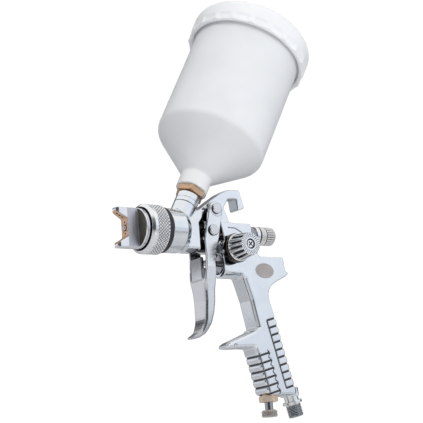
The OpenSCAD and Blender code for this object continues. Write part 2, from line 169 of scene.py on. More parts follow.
def rubber(name, low, high):
    mat, nodes, links, shader = new_material(name)
    grit = noise(nodes, links, 2500, 5.0)
    links.new(ramp(nodes, links, grit, low, high), shader.inputs["Base Color"])
    links.new(ramp(nodes, links, grit, 0.45, 0.7), shader.inputs["Roughness"])
    bump(nodes, links, shader, grit, 0.00003)
    return mat


def nylon(name, low, high, glow):
    """Milky moulded nylon, faintly uneven; glow is how much light comes through it."""
    mat, nodes, links, shader = new_material(name)
    colour = ramp(nodes, links, noise(nodes, links, 25, 2.0), low, high)
    links.new(colour, shader.inputs["Base Color"])
    grit = noise(nodes, links, 700, 5.0)
    links.new(ramp(nodes, links, grit, 0.32, 0.46), shader.inputs["Roughness"])
    bump(nodes, links, shader, grit, 0.00002)
    shader.inputs["Subsurface Weight"].default_value = 0.6
    shader.inputs["Subsurface Radius"].default_value = (1.0, 0.95, 0.9)
    shader.inputs["Subsurface Scale"].default_value = 0.004
    through = nodes.new("ShaderNodeBsdfTranslucent")
    links.new(colour, through.inputs["Color"])
    mix = nodes.new("ShaderNodeMixShader")
    mix.inputs["Fac"].default_value = glow
    links.new(shader.outputs["BSDF"], mix.inputs[1])
    links.new(through.outputs["BSDF"], mix.inputs[2])
    links.new(mix.outputs["Shader"], nodes["Material Output"].inputs["Surface"])
    return mat


CHROME = metal("chrome_body", (0.80, 0.84, 0.88), (0.86, 0.89, 0.92), (0.07, 0.16), 500, 0.000002)
RING = metal("ring_chrome", (0.88, 0.89, 0.90), (0.95, 0.96, 0.97), (0.12, 0.2), 1200)
SILVER = metal("cap_silver", (0.80, 0.81, 0.84), (0.88, 0.89, 0.92), (0.12, 0.22), 900)
BRONZE = metal("bronze", (0.66, 0.43, 0.28), (0.80, 0.56, 0.40), (0.25, 0.42), 1500, 0.000006)
BRASS = metal("brass", (0.50, 0.32, 0.20), (0.62, 0.42, 0.28), (0.2, 0.34), 1100, 0.000004)
STEEL = metal("steel", (0.58, 0.59, 0.60), (0.68, 0.69, 0.70), (0.2, 0.34), 1400, 0.000003)
# Dark chrome for the bush and regulator stem; on the packing nut in the shaded window it is also
# painted shade
DARK_CHROME_AND_SHADE = metal("dark_chrome", (0.30, 0.31, 0.33), (0.42, 0.43, 0.45), (0.12, 0.24), 900)
KNOB_STEEL = metal(
    "knob_steel", (0.76, 0.75, 0.74), (0.88, 0.87, 0.85), (0.3, 0.45), 1600, 0.000006,
)
THREAD = metal("thread_steel", (0.40, 0.43, 0.45), (0.54, 0.57, 0.59), (0.2, 0.35), 1200)
FACE = metal("knob_face", (0.90, 0.92, 0.95), (0.96, 0.97, 0.99), (0.18, 0.28), 1300, 0.000003)
PATCH = metal("etched_patch", (0.56, 0.51, 0.49), (0.66, 0.60, 0.57), (0.45, 0.6), 2500, 0.00001)
TRIGGER_SATIN = metal("trigger_satin", (0.84, 0.86, 0.88), (0.90, 0.91, 0.93), (0.16, 0.26), 500)
PIN_FACE = metal("pin_face", (0.70, 0.71, 0.73), (0.78, 0.79, 0.81), (0.16, 0.28), 1200, 0.000003)
CAP_SATIN = metal("cap_satin", (0.62, 0.62, 0.68), (0.70, 0.70, 0.77), (0.4, 0.55), 1200)
CAP_OLIVE = metal("cap_olive", (0.17, 0.17, 0.13), (0.25, 0.24, 0.19), (0.35, 0.5), 1200)
ANODISED = metal("anodised", (0.22, 0.23, 0.24), (0.30, 0.31, 0.32), (0.35, 0.5), 1200)
# Glossy black for black parts, and painted shade on the pin heads' rims beside the arms
BLACK_GLOSS_AND_SHADE = metal("black_chrome", (0.015, 0.015, 0.017), (0.035, 0.035, 0.04), (0.3, 0.45), 900)
# Steel with a warm brassy tint that is a painted reflection
NUT_STEEL_PAINTED_REFLECTION = metal("nut_steel_painted_reflection", (0.92, 0.72, 0.54), (0.98, 0.82, 0.66), (0.5, 0.65), 1100, 0.000003)
KNOB_BROWN = metal(
    "knob_brown", (0.52, 0.48, 0.44), (0.66, 0.61, 0.57), (0.35, 0.5), 1500, 0.000006,
)
BLACK = rubber("black_rubber", (0.012, 0.012, 0.014), (0.03, 0.03, 0.034))
SEAL = nylon("white_seal", (0.84, 0.84, 0.82), (0.90, 0.90, 0.88), 0.1)
CUP_NYLON = nylon("cup_nylon", (0.90, 0.91, 0.92), (0.94, 0.95, 0.96), 0.35)
LID_NYLON = nylon("lid_nylon", (0.93, 0.94, 0.95), (0.96, 0.97, 0.98), 0.3)
MESH_NYLON = nylon("strainer_nylon", (0.80, 0.81, 0.78), (0.88, 0.89, 0.86), 0.25)

SLOT_LOOKS = {
    "chrome_body": CHROME, "ring_chrome": RING, "bronze": BRONZE, "brass": BRASS, "steel": STEEL,
    "dark_chrome": DARK_CHROME_AND_SHADE, "knob_steel": KNOB_STEEL, "black_rubber": BLACK,
    "anodised": ANODISED, "white_seal": SEAL, "cup_nylon": CUP_NYLON, "strainer_nylon": MESH_NYLON,
}


# ---- turning pieces into objects ----

def add_piece(name, body, mats, verts, faces, stands_for=(), face_mats=None, smooth=50):
    """Makes one piece from millimetre vertices, shades it and gives it to the frame."""
    mesh = bpy.data.meshes.new(name)
    mesh.from_pydata(to_row(verts).tolist(), [], faces)
    mesh.update()
    for mat in mats:
        mesh.materials.append(mat)
    mesh.polygons.foreach_set("use_smooth", [True] * len(mesh.polygons))
    if face_mats is not None:
        mesh.polygons.foreach_set("material_index", face_mats)
    if smooth:
        mesh.set_sharp_from_angle(angle=math.radians(smooth))
    obj = bpy.data.objects.new(name, mesh)
    bpy.context.scene.collection.objects.link(obj)
    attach(obj, body)
    for node in stands_for:
        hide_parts(node)
    return obj


def rounded(points, radius, steps=4):
    """An outline with each corner turned into an arc, of that radius or as large as fits.

    A point may carry its own radius as a third number.
    """
    out = []
    count = len(points)
    for i in range(count):
        here = np.array(points[i][:2], float)
        r = points[i][2] if len(points[i]) > 2 else radius
        to_last = np.array(points[i - 1][:2], float) - here
        to_next = np.array(points[(i + 1) % count][:2], float) - here
        room = min(np.linalg.norm(to_last), np.linalg.norm(to_next)) * 0.49
        a, b = to_last / np.linalg.norm(to_last), to_next / np.linalg.norm(to_next)
        half = math.acos(max(-1.0, min(1.0, float(a @ b)))) / 2
        if r <= 0 or half > math.radians(87):
            out.append(tuple(here))
            continue
        back = min(r / math.tan(half), room)
        r = back * math.tan(half)
        centre = here + (a + b) / np.linalg.norm(a + b) * (r / math.sin(half))
        start, end = here + a * back - centre, here + b * back - centre
        turn = math.atan2(start[0] * end[1] - start[1] * end[0], float(start @ end))
        for k in range(steps + 1):
            c, s = math.cos(turn * k / steps), math.sin(turn * k / steps)
            out.append((centre[0] + c * start[0] - s * start[1],
                        centre[1] + s * start[0] + c * start[1]))
    return out


def fine(points, low, high, step):
    """The outline with extra points every step where its first number is between low and high."""
    out = []
    for (t0, r0), (t1, r1) in zip(points, points[1:] + points[:1]):
        out.append((t0, r0))
        inside = min(t0, t1) >= low - 1e-6 and max(t0, t1) <= high + 1e-6
        cuts = int(math.hypot(t1 - t0, r1 - r0) / step) if inside else 0
        out += [(t0 + (t1 - t0) * k / cuts, r0 + (r1 - r0) * k / cuts) for k in range(1, cuts)]
    return out


AT_AXIS = 1e-6  # a point this near the axis is on it, and becomes one vertex


def turned(name, body, mats, base, axis, outline, stands_for=(), wave=None, sides=96,
           pick=None, smooth=40, painted_shade=None):
    """A turned piece: a closed outline of (t, r) points spun about the axis through base.

    wave(t, r, a) gives how far to move each point outwards and along the axis. pick(t, r) gives
    the number of the material there, and the last argument, a function of t, r and a, how much
    painted shade darkens it.
    """
    t, r = np.array(outline, float).T
    along = Vector(axis).normalized()
    side = along.cross(Y if abs(along.y) < 0.9 else X).normalized()
    other = along.cross(side)
    a = np.arange(sides) * 2 * math.pi / sides
    tt, aa = np.repeat(t[:, None], sides, 1), np.repeat(a[None, :], len(t), 0)
    rr = np.repeat(r[:, None], sides, 1)
    dark = painted_shade(tt, rr, aa) if painted_shade else np.zeros(rr.shape)
    if wave:
        out, up = wave(tt, rr, aa)
        rr, tt = np.maximum(rr + np.where(rr > AT_AXIS, out, 0), 0), tt + up
    outward = np.cos(aa)[..., None] * np.array(side) + np.sin(aa)[..., None] * np.array(other)
    rings = np.array(base) + tt[..., None] * np.array(along) + rr[..., None] * outward
    ring_start, flat, shades, total = [], [], [], 0
    for i in range(len(t)):
        ring_start.append(total)
        count = sides if r[i] > AT_AXIS else 1
        flat.append(rings[i][:count])
        shades.append(dark[i][:count])
        total += count
    faces, face_mats = [], []
    for i in range(len(t)):
        k = (i + 1) % len(t)
        p, q = ring_start[i], ring_start[k]
        at_axis = (r[i] <= AT_AXIS, r[k] <= AT_AXIS)
        if all(at_axis):
            continue
        mat = pick((t[i] + t[k]) / 2, (r[i] + r[k]) / 2) if pick else 0
        for j in range(sides):
            m = (j + 1) % sides
            if at_axis[0]:
                faces.append((p, q + j, q + m))
            elif at_axis[1]:
                faces.append((p + m, p + j, q))
            else:
                faces.append((p + m, p + j, q + j, q + m))
            face_mats.append(mat)
    verts = np.concatenate(flat)
    obj = add_piece(name, body, mats, verts, faces, stands_for, face_mats, smooth)
    face_out(obj)
    if painted_shade:
        add_painted_shade(obj, np.concatenate(shades))
    weigh(obj)


def add_painted_shade(obj, values):
    """Stores how much painted shade darkens each vertex, from 0 to 1, for metal() to read."""
    layer = obj.data.attributes.new("painted_shade", "FLOAT", "POINT")
    layer.data.foreach_set("value", np.clip(values, 0, 1).astype(np.float32))


def face_out(obj):
    """Turns a closed mesh's faces outwards."""
    mesh = obj.data
    mesh.calc_loop_triangles()
    co = np.empty(len(mesh.vertices) * 3)
    mesh.vertices.foreach_get("co", co)
    tri = np.empty(len(mesh.loop_triangles) * 3, int)
    mesh.loop_triangles.foreach_get("vertices", tri)
    p = co.reshape(-1, 3)[tri.reshape(-1, 3)]
    p = p - p.mean((0, 1))
    if np.einsum("ij,ij->", p[:, 0], np.cross(p[:, 1], p[:, 2])) < 0:
        mesh.flip_normals()


def weigh(obj):
    """Keeps flat faces flat beside small rounded edges."""
    mod = obj.modifiers.new("weigh", "WEIGHTED_NORMAL")
    mod.keep_sharp = True


# ---- solids from distance fields ----
# A field gives the distance from each point of an N by 3 array to a solid's surface, in
# millimetres, and is negative inside.

FAR = 9.0


def outline_distance(px, pz, points):
    """Distance to a closed outline, negative inside it."""
    best = np.full(px.shape, 1e12, np.float32)
    inside = np.zeros(px.shape, bool)
    for (ax, az), (bx, bz) in zip(points, points[1:] + points[:1]):
        ex, ez = bx - ax, bz - az
        wx, wz = px - ax, pz - az
        along = np.clip((wx * ex + wz * ez) / (ex * ex + ez * ez + 1e-12), 0, 1)
        best = np.minimum(best, (wx - ex * along) ** 2 + (wz - ez * along) ** 2)
        below, above, left = pz >= az, pz < bz, ex * wz > ez * wx
        inside ^= (below & above & left) | (~below & ~above & ~left)
    return np.where(inside, -1, 1) * np.sqrt(best)


def within(points, low, high, measure):
    """measure() of the points near a box, and FAR for the others."""
    near = ((points > np.array(low) - FAR) & (points < np.array(high) + FAR)).all(1)
    out = np.full(len(points), FAR, np.float32)
    if near.any():
        out[near] = measure(points[near])
    return out


def rounded_corner(a, b, edge):
    """Distance to the corner where two distances meet, rounded by edge."""
    a, b = a + edge, b + edge
    return np.minimum(np.maximum(a, b), 0) + np.hypot(np.maximum(a, 0), np.maximum(b, 0)) - edge


def slab(p, outline, half, edge):
    """A plate across y, from -half to half, with an outline in x and z and rounded rims."""
    return rounded_corner(
        outline_distance(p[:, 0], p[:, 2], outline), np.abs(p[:, 1]) - half, edge)


def rod(points, base, axis, start, end, radius, edge=0.0):
    """A cylinder from start to end along an axis through base."""
    along = np.array(Vector(axis).normalized())
    base = np.array(base, float)
    mid = base + along * (start + end) / 2
    reach = abs(end - start) / 2 * np.abs(along) + radius
    return within(points, mid - reach, mid + reach, lambda p: rounded_corner(
        np.linalg.norm((p - mid) - ((p - mid) @ along)[:, None] * along, axis=1) - radius,
        np.abs((p - mid) @ along) - abs(end - start) / 2, edge))


def block(points, low, high, edge):
    """An upright box between two corners, its edges rounded by edge."""
    mid, half = (np.array(low) + np.array(high)) / 2, (np.array(high) - np.array(low)) / 2 - edge
    q = np.abs(points - mid) - half
    return np.linalg.norm(np.maximum(q, 0), axis=1) + np.minimum(q.max(1), 0) - edge


def join(a, b, k):
    """Two solids joined with a fillet about k wide."""
    h = np.maximum(k - np.abs(a - b), 0) / k
    return np.minimum(a, b) - h * h * k / 4


def cut(a, b, k=0.3):
    """Solid a less solid b, with the new edge eased by k."""
    return -join(-a, b, k)


def meet(a, b, k=0.3):
    """What is in both solids, with the new edge eased by k."""
    return -join(-a, -b, k)


BATCH = 400000  # points measured at once


def field_mesh(field, low, high, cell):
    """A surface-net mesh of a field: one vertex in each cell that the surface crosses."""
    low, high = np.array(low, float) - cell * 1.5, np.array(high, float) + cell * 1.5
    # A rough grid finds which cells lie near the surface, and only those are measured finely
    step = 4
    count = np.ceil((high - low) / (cell * step)).astype(int)
    mids = np.stack(np.meshgrid(*[np.arange(n) + 0.5 for n in count], indexing="ij"), -1)
    rough = field(low + mids.reshape(-1, 3) * cell * step).reshape(count)
    near = np.abs(rough) < cell * step * 0.95
    big = np.repeat(np.repeat(np.repeat(near, step, 0), step, 1), step, 2)
    full = np.repeat(np.repeat(np.repeat(rough, step, 0), step, 1), step, 2).astype(np.float32)
    grid = np.pad(full, ((0, 1),) * 3, mode="edge")
    wanted = np.zeros(grid.shape, bool)
    for dx in (0, 1):
        for dy in (0, 1):
            for dz in (0, 1):
                wanted[dx:dx + big.shape[0], dy:dy + big.shape[1], dz:dz + big.shape[2]] |= big
    at = np.argwhere(wanted)
    parts = np.array_split(at, max(1, len(at) // BATCH))
    grid[wanted] = np.concatenate([field(low + part * cell) for part in parts])
    solid = grid < 0
    corners = [(i, j, k) for i in (0, 1) for j in (0, 1) for k in (0, 1)]
    shape = np.array(grid.shape) - 1
    filled = sum(solid[tuple(slice(n, n + size) for n, size in zip(corner, shape))].astype(np.int8)
                 for corner in corners)
    crossing = (filled > 0) & (filled < 8)
    cells = np.argwhere(crossing)
    number = np.full(crossing.shape, -1, np.int64)
    number[tuple(cells.T)] = np.arange(len(cells))
    # Each vertex is the mean of where the surface cuts its cell's twelve edges
    total, hits = np.zeros((len(cells), 3)), np.zeros(len(cells))
    for a in corners:
        for axis in range(3):
            if a[axis]:
                continue
            b = tuple(v + (n == axis) for n, v in enumerate(a))
            va, vb = (grid[tuple((cells + np.array(c)).T)] for c in (a, b))
            cross = (va < 0) != (vb < 0)
            share = np.where(cross, va / np.where(cross, va - vb, 1), 0)
            spot = np.repeat(np.array(a, float)[None], len(cells), 0)
            spot[:, axis] += share
            total += spot * cross[:, None]
            hits += cross
    verts = low + (cells + total / hits[:, None]) * cell
    # Each grid edge that the surface cuts gets the face between its four cells
    faces = []
    for axis in range(3):
        u, v = (axis + 1) % 3, (axis + 2) % 3
        core = [slice(0, n) for n in shape]
        core[u], core[v] = slice(1, shape[u]), slice(1, shape[v])
        ahead = list(core)
        ahead[axis] = slice(1, shape[axis] + 1)
        first, second = solid[tuple(core)], solid[tuple(ahead)]
        edge = np.argwhere(first != second)
        edge[:, u] += 1
        edge[:, v] += 1
        ids = []
        for du, dv in ((0, 0), (1, 0), (1, 1), (0, 1)):
            spot = edge.copy()
            spot[:, u] -= du
            spot[:, v] -= dv
            ids.append(number[tuple(spot.T)])
        quad = np.stack(ids, 1)
        facing = solid[tuple(edge.T)]
        quad[~facing] = quad[~facing][:, ::-1]
        faces.append(quad)
    return settle(field, verts, cell), np.concatenate(faces)


def slope(field, verts, reach):
    """A field's unit gradient at each vertex."""
    offsets = np.array([(1, -1, -1), (-1, -1, 1), (-1, 1, -1), (1, 1, 1)], float)
    grad = sum(field(verts + o * reach)[:, None] * o for o in offsets)
    return grad / np.maximum(np.linalg.norm(grad, axis=1, keepdims=True), 1e-9)


def settle(field, verts, cell):
    """Moves vertices onto the surface."""
    for _ in range(2):
        away = np.clip(field(verts), -cell, cell)
        verts = verts - slope(field, verts, 0.05) * away[:, None]
    return verts


def field_piece(name, body, mats, field, low, high, cell, node, pick=None, painted_shade=None):
    """One piece made from a field, in place of a CAD node.

    pick(centres, normals) gives each face's material number, and the last argument, a function of
    the vertices, how much painted shade darkens each.
    """
    verts, faces = field_mesh(field, low, high, cell)
    face_mats = None
    if pick:
        corners = verts[faces]
        normals = np.cross(corners[:, 2] - corners[:, 0], corners[:, 3] - corners[:, 1])
        normals /= np.maximum(np.linalg.norm(normals, axis=1, keepdims=True), 1e-9)
        face_mats = pick(corners.mean(1), normals).astype(int).tolist()
    obj = add_piece(name, body, mats, verts, faces.tolist(), [node], face_mats, smooth=0)
    obj.data.normals_split_custom_set_from_vertices(slope(field, verts, 0.15).tolist())
    if painted_shade:
        add_painted_shade(obj, painted_shade(verts))


def ease(value, low, high):
    """0 below low, 1 above high and a smooth step between."""
    s = np.clip((value - low) / (high - low), 0, 1)
    return s * s * (3 - 2 * s)


# ---- the body casting ----

BODY_CELL, TRIGGER_CELL, CAP_CELL = ((0.5, 0.45, 0.3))
BARREL_R, SNOUT_R, COLLAR_R = 18.3, 16.2, 9.8
HOOK_OUTLINE = rounded([
    (-30, 8.5), (-30, 15), (-39.6, 18.1), (-51.5, 26, 30), (-62.5, 33.1, 25), (-70.1, 36.6, 5),
    (-82.7, 37.4, 1.5), (-84.3, 31.5, 3), (-87, 21.8, 2), (-79.9, 19.3, 1.5), (-78.8, 29.5, 0.8),
    (-70.4, 28.9, 1.5), (-65, 20.9, 4), (-67.2, 16.8, 4), (-69.6, 10.2, 5), (-71.5, 7.6, 3),
    (-71.5, 4), (-62, 4), (-57.5, 8.5, 2),
], 1.0)
CHEEK_OUTLINE = rounded([
    (-23, -19), (-60, -19), (-60, -16), (-36, -16, 1), (-36, 6, 2), (-41, 11, 2), (-46, 19, 1),
    (-23, 19),
], 0.3)
REAR_OUTLINE = rounded([
    (-57.5, 8.2), (-88.6, 8.2, 1), (-90, 5, 2), (-90, -8, 5), (-96.4, -19.3, 2),
    (-121.1, -18.7, 1), (-122.5, -30.6, 3), (-125.9, -32.2, 0.6), (-122.6, -35.3, 3),
    (-113.5, -39.4, 20), (-105.6, -43.9, 9), (-102.3, -50, 9), (-103.2, -56.7, 20),
    (-107.6, -70.9, 30), (-112.5, -89), (-90.5, -89), (-89.3, -79.6, 3), (-84.3, -56.4, 60),
    (-80.6, -45, 40), (-77, -34, 1.6), (-59, -33, 4), (-59, -9, 4), (-61, -7, 0),
], 1.5)
SPUR_OUTLINE = rounded([
    (-92, -78.5), (-86, -81.6, 3), (-76, -85.5, 10), (-61, -91, 6), (-57, -93.6, 1),
    (-57.7, -96, 0.8), (-63, -96.3, 20), (-76, -95.4, 20), (-92, -95.8),
], 1.0)
GRIP_OUTLINE = rounded([
    (-87.4, -80), (-84.0, -95.2), (-93.9, -133.1, 1.5), (-94.9, -134.7, 1), (-124, -134.7, 3),
    (-123.5, -129.2, 6), (-108.7, -74),
], 1.0)
GROOVE_START, GROOVE_PITCH = 26.0, 6.45
COLLAR_SEAM = 25.0
CREASE = [(-65.5, 3.7), (-72.5, 3.4), (-79.1, 0.2)]
GAP_OUTLINE = [
    (-50, -17.5), (-35.5, -17.5), (-35.5, 6), (-40.5, 11), (-45.5, 19), (-59.6, 19), (-59.6, -6.5),
    (-50, -6.5),
]


def polyline_distance(px, pz, points):
    """Distance to an open line in x and z."""
    best = np.full(px.shape, 1e12)
    for (ax, az), (bx, bz) in zip(points, points[1:]):
        ex, ez = bx - ax, bz - az
        along = np.clip(((px - ax) * ex + (pz - az) * ez) / (ex * ex + ez * ez), 0, 1)
        best = np.minimum(best, (px - ax - ex * along) ** 2 + (pz - az - ez * along) ** 2)
    return np.sqrt(best)


def along_cup(p):
    """Distance of each point along the cup's axis, and its distance from that axis."""
    rel = p - np.array(CUP)
    t = rel @ np.array(CUP_AXIS)
    return t, np.linalg.norm(rel - t[:, None] * np.array(CUP_AXIS), axis=1)


def collar_seam(p):
    """A fine turned groove round the collar under the cup."""
    t, r = along_cup(p)
    return np.maximum(np.abs(t - COLLAR_SEAM) - 0.2, 9.6 - r)


def head_field(p):
    # The barrel's rear tapers down to the cheeks, which thin towards the hook above them
    def round_part(q):
        taper = 0.62 * np.maximum(-18.5 - q[:, 0], 0)
        cone = (np.hypot(q[:, 1], q[:, 2]) - BARREL_R + taper) * 0.85
        return meet(rod(q, CENTRE, X, -24.6, -5, BARREL_R, 0.4), cone, 0.4)
    def cheeks(q):
        side = outline_distance(q[:, 0], q[:, 2], CHEEK_OUTLINE)
        side = np.maximum(side, np.hypot(q[:, 1], q[:, 2]) - 18)
        return rounded_corner(side, np.abs(q[:, 1]) - (9.8 - 4.0 * ease(q[:, 2], 2, 20)), 0.9)
    barrel = within(p, (-24.6, -BARREL_R, -BARREL_R), (-5, BARREL_R, BARREL_R), round_part)
    snout = rod(p, CENTRE, X, -8, 10, SNOUT_R, 0.4)
    flats = within(p, (-62, -12, -22), (-22, 12, 22), cheeks)
    collar = cut(rod(p, CUP, CUP_AXIS, 6, 29.55, COLLAR_R, 0.05), collar_seam(p), 0.1)
    return np.minimum(snout, join(join(barrel, flats, 1.2), collar, 1.0))


def hook_field(p):
    flat = np.array(HOOK_OUTLINE)
    low, high = flat.min(0), flat.max(0)
    hook = within(p, (low[0], -HOOK_HALF, low[1]), (high[0], HOOK_HALF, high[1]),
                  lambda q: slab(q, HOOK_OUTLINE, HOOK_HALF, 0.7))
    boss = rod(p, PIVOT, Y, -9.7, 9.7, 6.3, 0.4)
    return join(hook, boss, 0.8)


def rear_field(p):
    def measure(q):
        # The handle's front edges are well rounded, the others are crisp
        slope_x = q[:, 0] - 0.235 * (q[:, 2] + 34) + 86
        edge = 1.0 + 2.2 * ease(slope_x, -4, 4) * ease(-q[:, 2], 35, 38)
        return slab(q, REAR_OUTLINE, BODY_HALF, edge)
    side = within(p, (-126, -BODY_HALF, -89), (-57, BODY_HALF, 9), measure)
    housing = meet(rod(p, VALVE, X, -82, -59, 12, 1.6), np.abs(p[:, 1]) - BODY_HALF, 0.8)
    return join(side, housing, 1.2)


def grip_relief(q):
    """How far the grip's grooves and its front's hollows reach at each point, from 0 to 1.

    t runs up the grip from the air inlet, and depth runs forwards across it.
    """
    rel = q - np.array(INLET)
    t = rel @ np.array(INLET_AXIS)
    depth = rel[:, 0] * math.cos(GRIP_SLOPE) - rel[:, 2] * math.sin(GRIP_SLOPE)
    step = (t - GROOVE_START + GROOVE_PITCH / 2) % GROOVE_PITCH - GROOVE_PITCH / 2
    above = t > GROOVE_START - GROOVE_PITCH / 2
    low_row = above & (t < GROOVE_START + 5.4 * GROOVE_PITCH)
    across = 1 - ease(np.abs(step), 0.4, 1.05)
    rear = across * above * (t < GROOVE_START + 9.5 * GROOVE_PITCH) * (1 - ease(depth, 8.9, 9.4))
    upright = 1 - ease(np.abs(depth - 9.3), 0.3, 0.9)
    upright = upright * (t > GROOVE_START) * (t < GROOVE_START + 9 * GROOVE_PITCH)
    rib_end = 16.2 + 0.35 * np.abs(step) ** 1.5
    rim = 1 - ease(np.abs(depth - rib_end), 0.2, 0.7)
    ribs = np.maximum(across * ease(depth, 15.6, 16.2), rim) * low_row
    seam = (1 - ease(np.abs(depth - 26.6), 0.3, 0.9)) * low_row
    hollow = (1 - np.abs(step) / (GROOVE_PITCH / 2)) ** 2 * low_row * ease(depth, 26.5, 28.5)
    return np.maximum(np.maximum(rear, upright), np.maximum(ribs, 0.8 * seam)), hollow


def grip_field(p):
    def measure(q):
        edge = 2.0 + 1.2 * ease(q[:, 0] - 0.268 * (q[:, 2] + 95) + 92, 0, 8)
        return slab(q, GRIP_OUTLINE, BODY_HALF, edge)
    return within(p, (-125, -BODY_HALF, -135), (-84, BODY_HALF, -74), measure)


def spur_field(p):
    """The finger rest, which is as wide as the grip at its root and narrows forwards."""
    def measure(q):
        return slab(q, SPUR_OUTLINE, BODY_HALF - 2.6 * ease(q[:, 0], -88, -62), 2.6)
    return within(p, (-92, -BODY_HALF, -97), (-57, BODY_HALF, -78), measure)


def casing_field(p):
    """Rear body, handle, grip and finger rest in one, flat at the sides, with the grip's relief."""
    solid = join(join(rear_field(p), grip_field(p), 1.0), spur_field(p), 1.5)
    solid = np.maximum(solid, np.abs(p[:, 1]) - BODY_HALF)
    def sink(q):
        groove, hollow = grip_relief(q)
        return 0.8 * groove + hollow
    sunk = within(p, (-126, -BODY_HALF, -136), (-84, BODY_HALF, -62), sink)
    return solid + np.where(sunk < FAR, sunk, 0)


def body_painted_shade(verts):
    """Painted shade darkens the grooves, the crease, the hook's inner edge, the seam and the gap
    behind the head.
    """
    x, y, z = verts.T
    groove, hollow = grip_relief(verts)
    grip = ease(-z, 66, 68) * (x < -84) * np.maximum(groove, 0.6 * hollow ** 2)
    hook = 0.45 * (np.abs(x + 79.4) < 1.3) * (z > 18.5) * (z < 29.6) * (x > -80.3)
    crease = 0.6 * (1 - ease(polyline_distance(x, z, CREASE), 0.25, 0.7)) * (y > 8.5)
    gap = 0.93 * (1 - ease(outline_distance(x, z, GAP_OUTLINE), -0.1, 0.5)) * (np.abs(y) < 8.9)
    t, r = along_cup(verts)
    seam = 0.8 * (1 - ease(np.abs(t - COLLAR_SEAM), 0.15, 0.55)) * (r > 9.3) * (r < 10)
    return np.maximum.reduce([grip, crease, gap, hook, seam])


def body_bores(p):
    """What the casting is bored for, so that the needle, valves and pins have room."""
    bores = [
        cut(rod(p, CENTRE, X, -3, 12, 13.5), rod(p, CENTRE, X, -4, 0, 7.5), 0.1),
        rod(p, CENTRE, X, -16, 1, 5.0),
        rod(p, CENTRE, X, -26, -15, 3.5),
        rod(p, CENTRE, X, -37, -25.9, 4.05),
        rod(p, CENTRE, X, -63, -53, 4.3),
        rod(p, CENTRE, X, -68, -62, 1.7),
        rod(p, CENTRE, X, -92, -67, 5.7),
        rod(p, VALVE, X, -63.5, -57, 8.8),
        rod(p, VALVE, X, -97, -60, 6.05),
        rod(p, VALVE, X, -112, -96, 5.0),
        rod(p, PIVOT, Y, -11, 11, 3.1),
        rod(p, FAN, Y, -4, 14, 4.55),
        rod(p, REGULATOR, Z, -136, -106, 3.6),
        rod(p, REGULATOR, Z, -136, -124.7, 5.05),
        rod(p, INLET, INLET_AXIS, 10, 22.1, 6.05),
        rod(p, (-66, 0, -93.5), Y, 6.6, 9, 1.5),
    ]
    return np.minimum.reduce(bores)


def body_field(p):
    boss = rod(p, INLET, INLET_AXIS, 13.5, 24, 8.4, 0.8)
    casing = join(casing_field(p), boss, 0.8)
    rear = join(casing, rod(p, FAN, Y, 5, 12.8, 9, 0.5), 1.5)
    web = block(p, (-60, -5, -17), (-35, 5, -6.8), 0.5)
    solid = join(np.minimum(join(head_field(p), hook_field(p), 1.5), web), rear, 1.5)
    crease = within(p, (-80, 9, -1), (-65, 10, 4), lambda q: np.maximum(
        polyline_distance(q[:, 0], q[:, 2], CREASE) - 0.25, 9.2 - q[:, 1]))
    return cut(cut(solid, body_bores(p), 0.3), crease, 0.2)


def gun_body():
    field_piece("body_casting", "gun", [CHROME], body_field, (-126.5, -18.4, -135),
                (10, 18.4, 37.5), BODY_CELL, "gun_body", painted_shade=body_painted_shade)


def badge_patch():
    """A plain oval etched patch on the tail."""
    centre = Vector((-100.1, BODY_HALF - 0.05, -31.3))
    def oval(t, r, a):
        half_long, half_tall = 6.4, 9.6
        reach = 1 / np.sqrt((np.cos(a) / half_long) ** 2 + (np.sin(a) / half_tall) ** 2)
        return r * (reach - 1), 0 * r
    outline = [(0, 0), (0, 1), (0.12, 1), (0.16, 0.97), (0.16, 0.86), (0.12, 0.84), (0.12, 0)]
    turned("tail_patch", "gun", [PATCH], centre, Y, outline, wave=oval)


# ---- pieces fixed to the body ----

def hexed(across_flats, corner_at=0.0):
    """A wave that cuts a turned shape to a hexagon with a corner at the angle corner_at."""
    def wave(t, r, a):
        corner = (a - corner_at) % (math.pi / 3) - math.pi / 6
        return np.minimum(across_flats / 2 / np.cos(corner) - r, 0), 0 * r
    return wave


def head_gasket():
    outline = rounded([(-4.95, 18.7), (-0.1, 18.7), (-0.1, 16.3), (-4.95, 16.3)], 0.5)
    turned("gasket", "gun", [BLACK], CENTRE, X, outline, ["head_gasket"],
           sides=128)


def inlet_adapter():
    outline = rounded([
        (20.1, 4), (20.1, 6.5), (29.56, 6.5), (29.56, 9.8, 0.05), (34.6, 9.8, 0.4),
        (35.6, 8.9, 0.3), (35.6, 6.95), (48.9, 6.95), (48.9, 4),
    ], 0.3, 3)
    turned("cup_spigot", "gun", [CHROME], CUP, CUP_AXIS, outline,
           ["inlet_adapter"])


PIN_HEAD_R = 4.6


def pin_outline(r):
    """A pin across the arms with a flat round head whose rim is eased."""
    face = ARM_OUT + 2.2
    return rounded([
        (-ARM_OUT - 2, 0, 0), (-ARM_OUT - 2, r), (ARM_OUT + 0.1, r, 0), 
        (ARM_OUT + 0.1, PIN_HEAD_R, 0.1), (face, PIN_HEAD_R, 0.9), (face, 0, 0),
    ], 0.2, 5)


def slotted(width, depth, face):
    """A wave that sinks a screwdriver slot into the flat face at t = face."""
    def wave(t, r, a):
        sunk = (np.abs(t - face) < 0.3) & (np.abs(r * np.cos(a)) < width / 2)
        return 0 * r, np.where(sunk, -math.copysign(depth, face), 0)
    return wave


def arm_pin(name, node, body, at, r):
    # The head's rim beside the arm takes the black as painted shade
    turned(name, body, [PIN_FACE, BLACK_GLOSS_AND_SHADE], at, Y, pin_outline(r), [node],
           sides=64, pick=lambda t, r: int(r > 3.9 and t < ARM_OUT + 1.4))


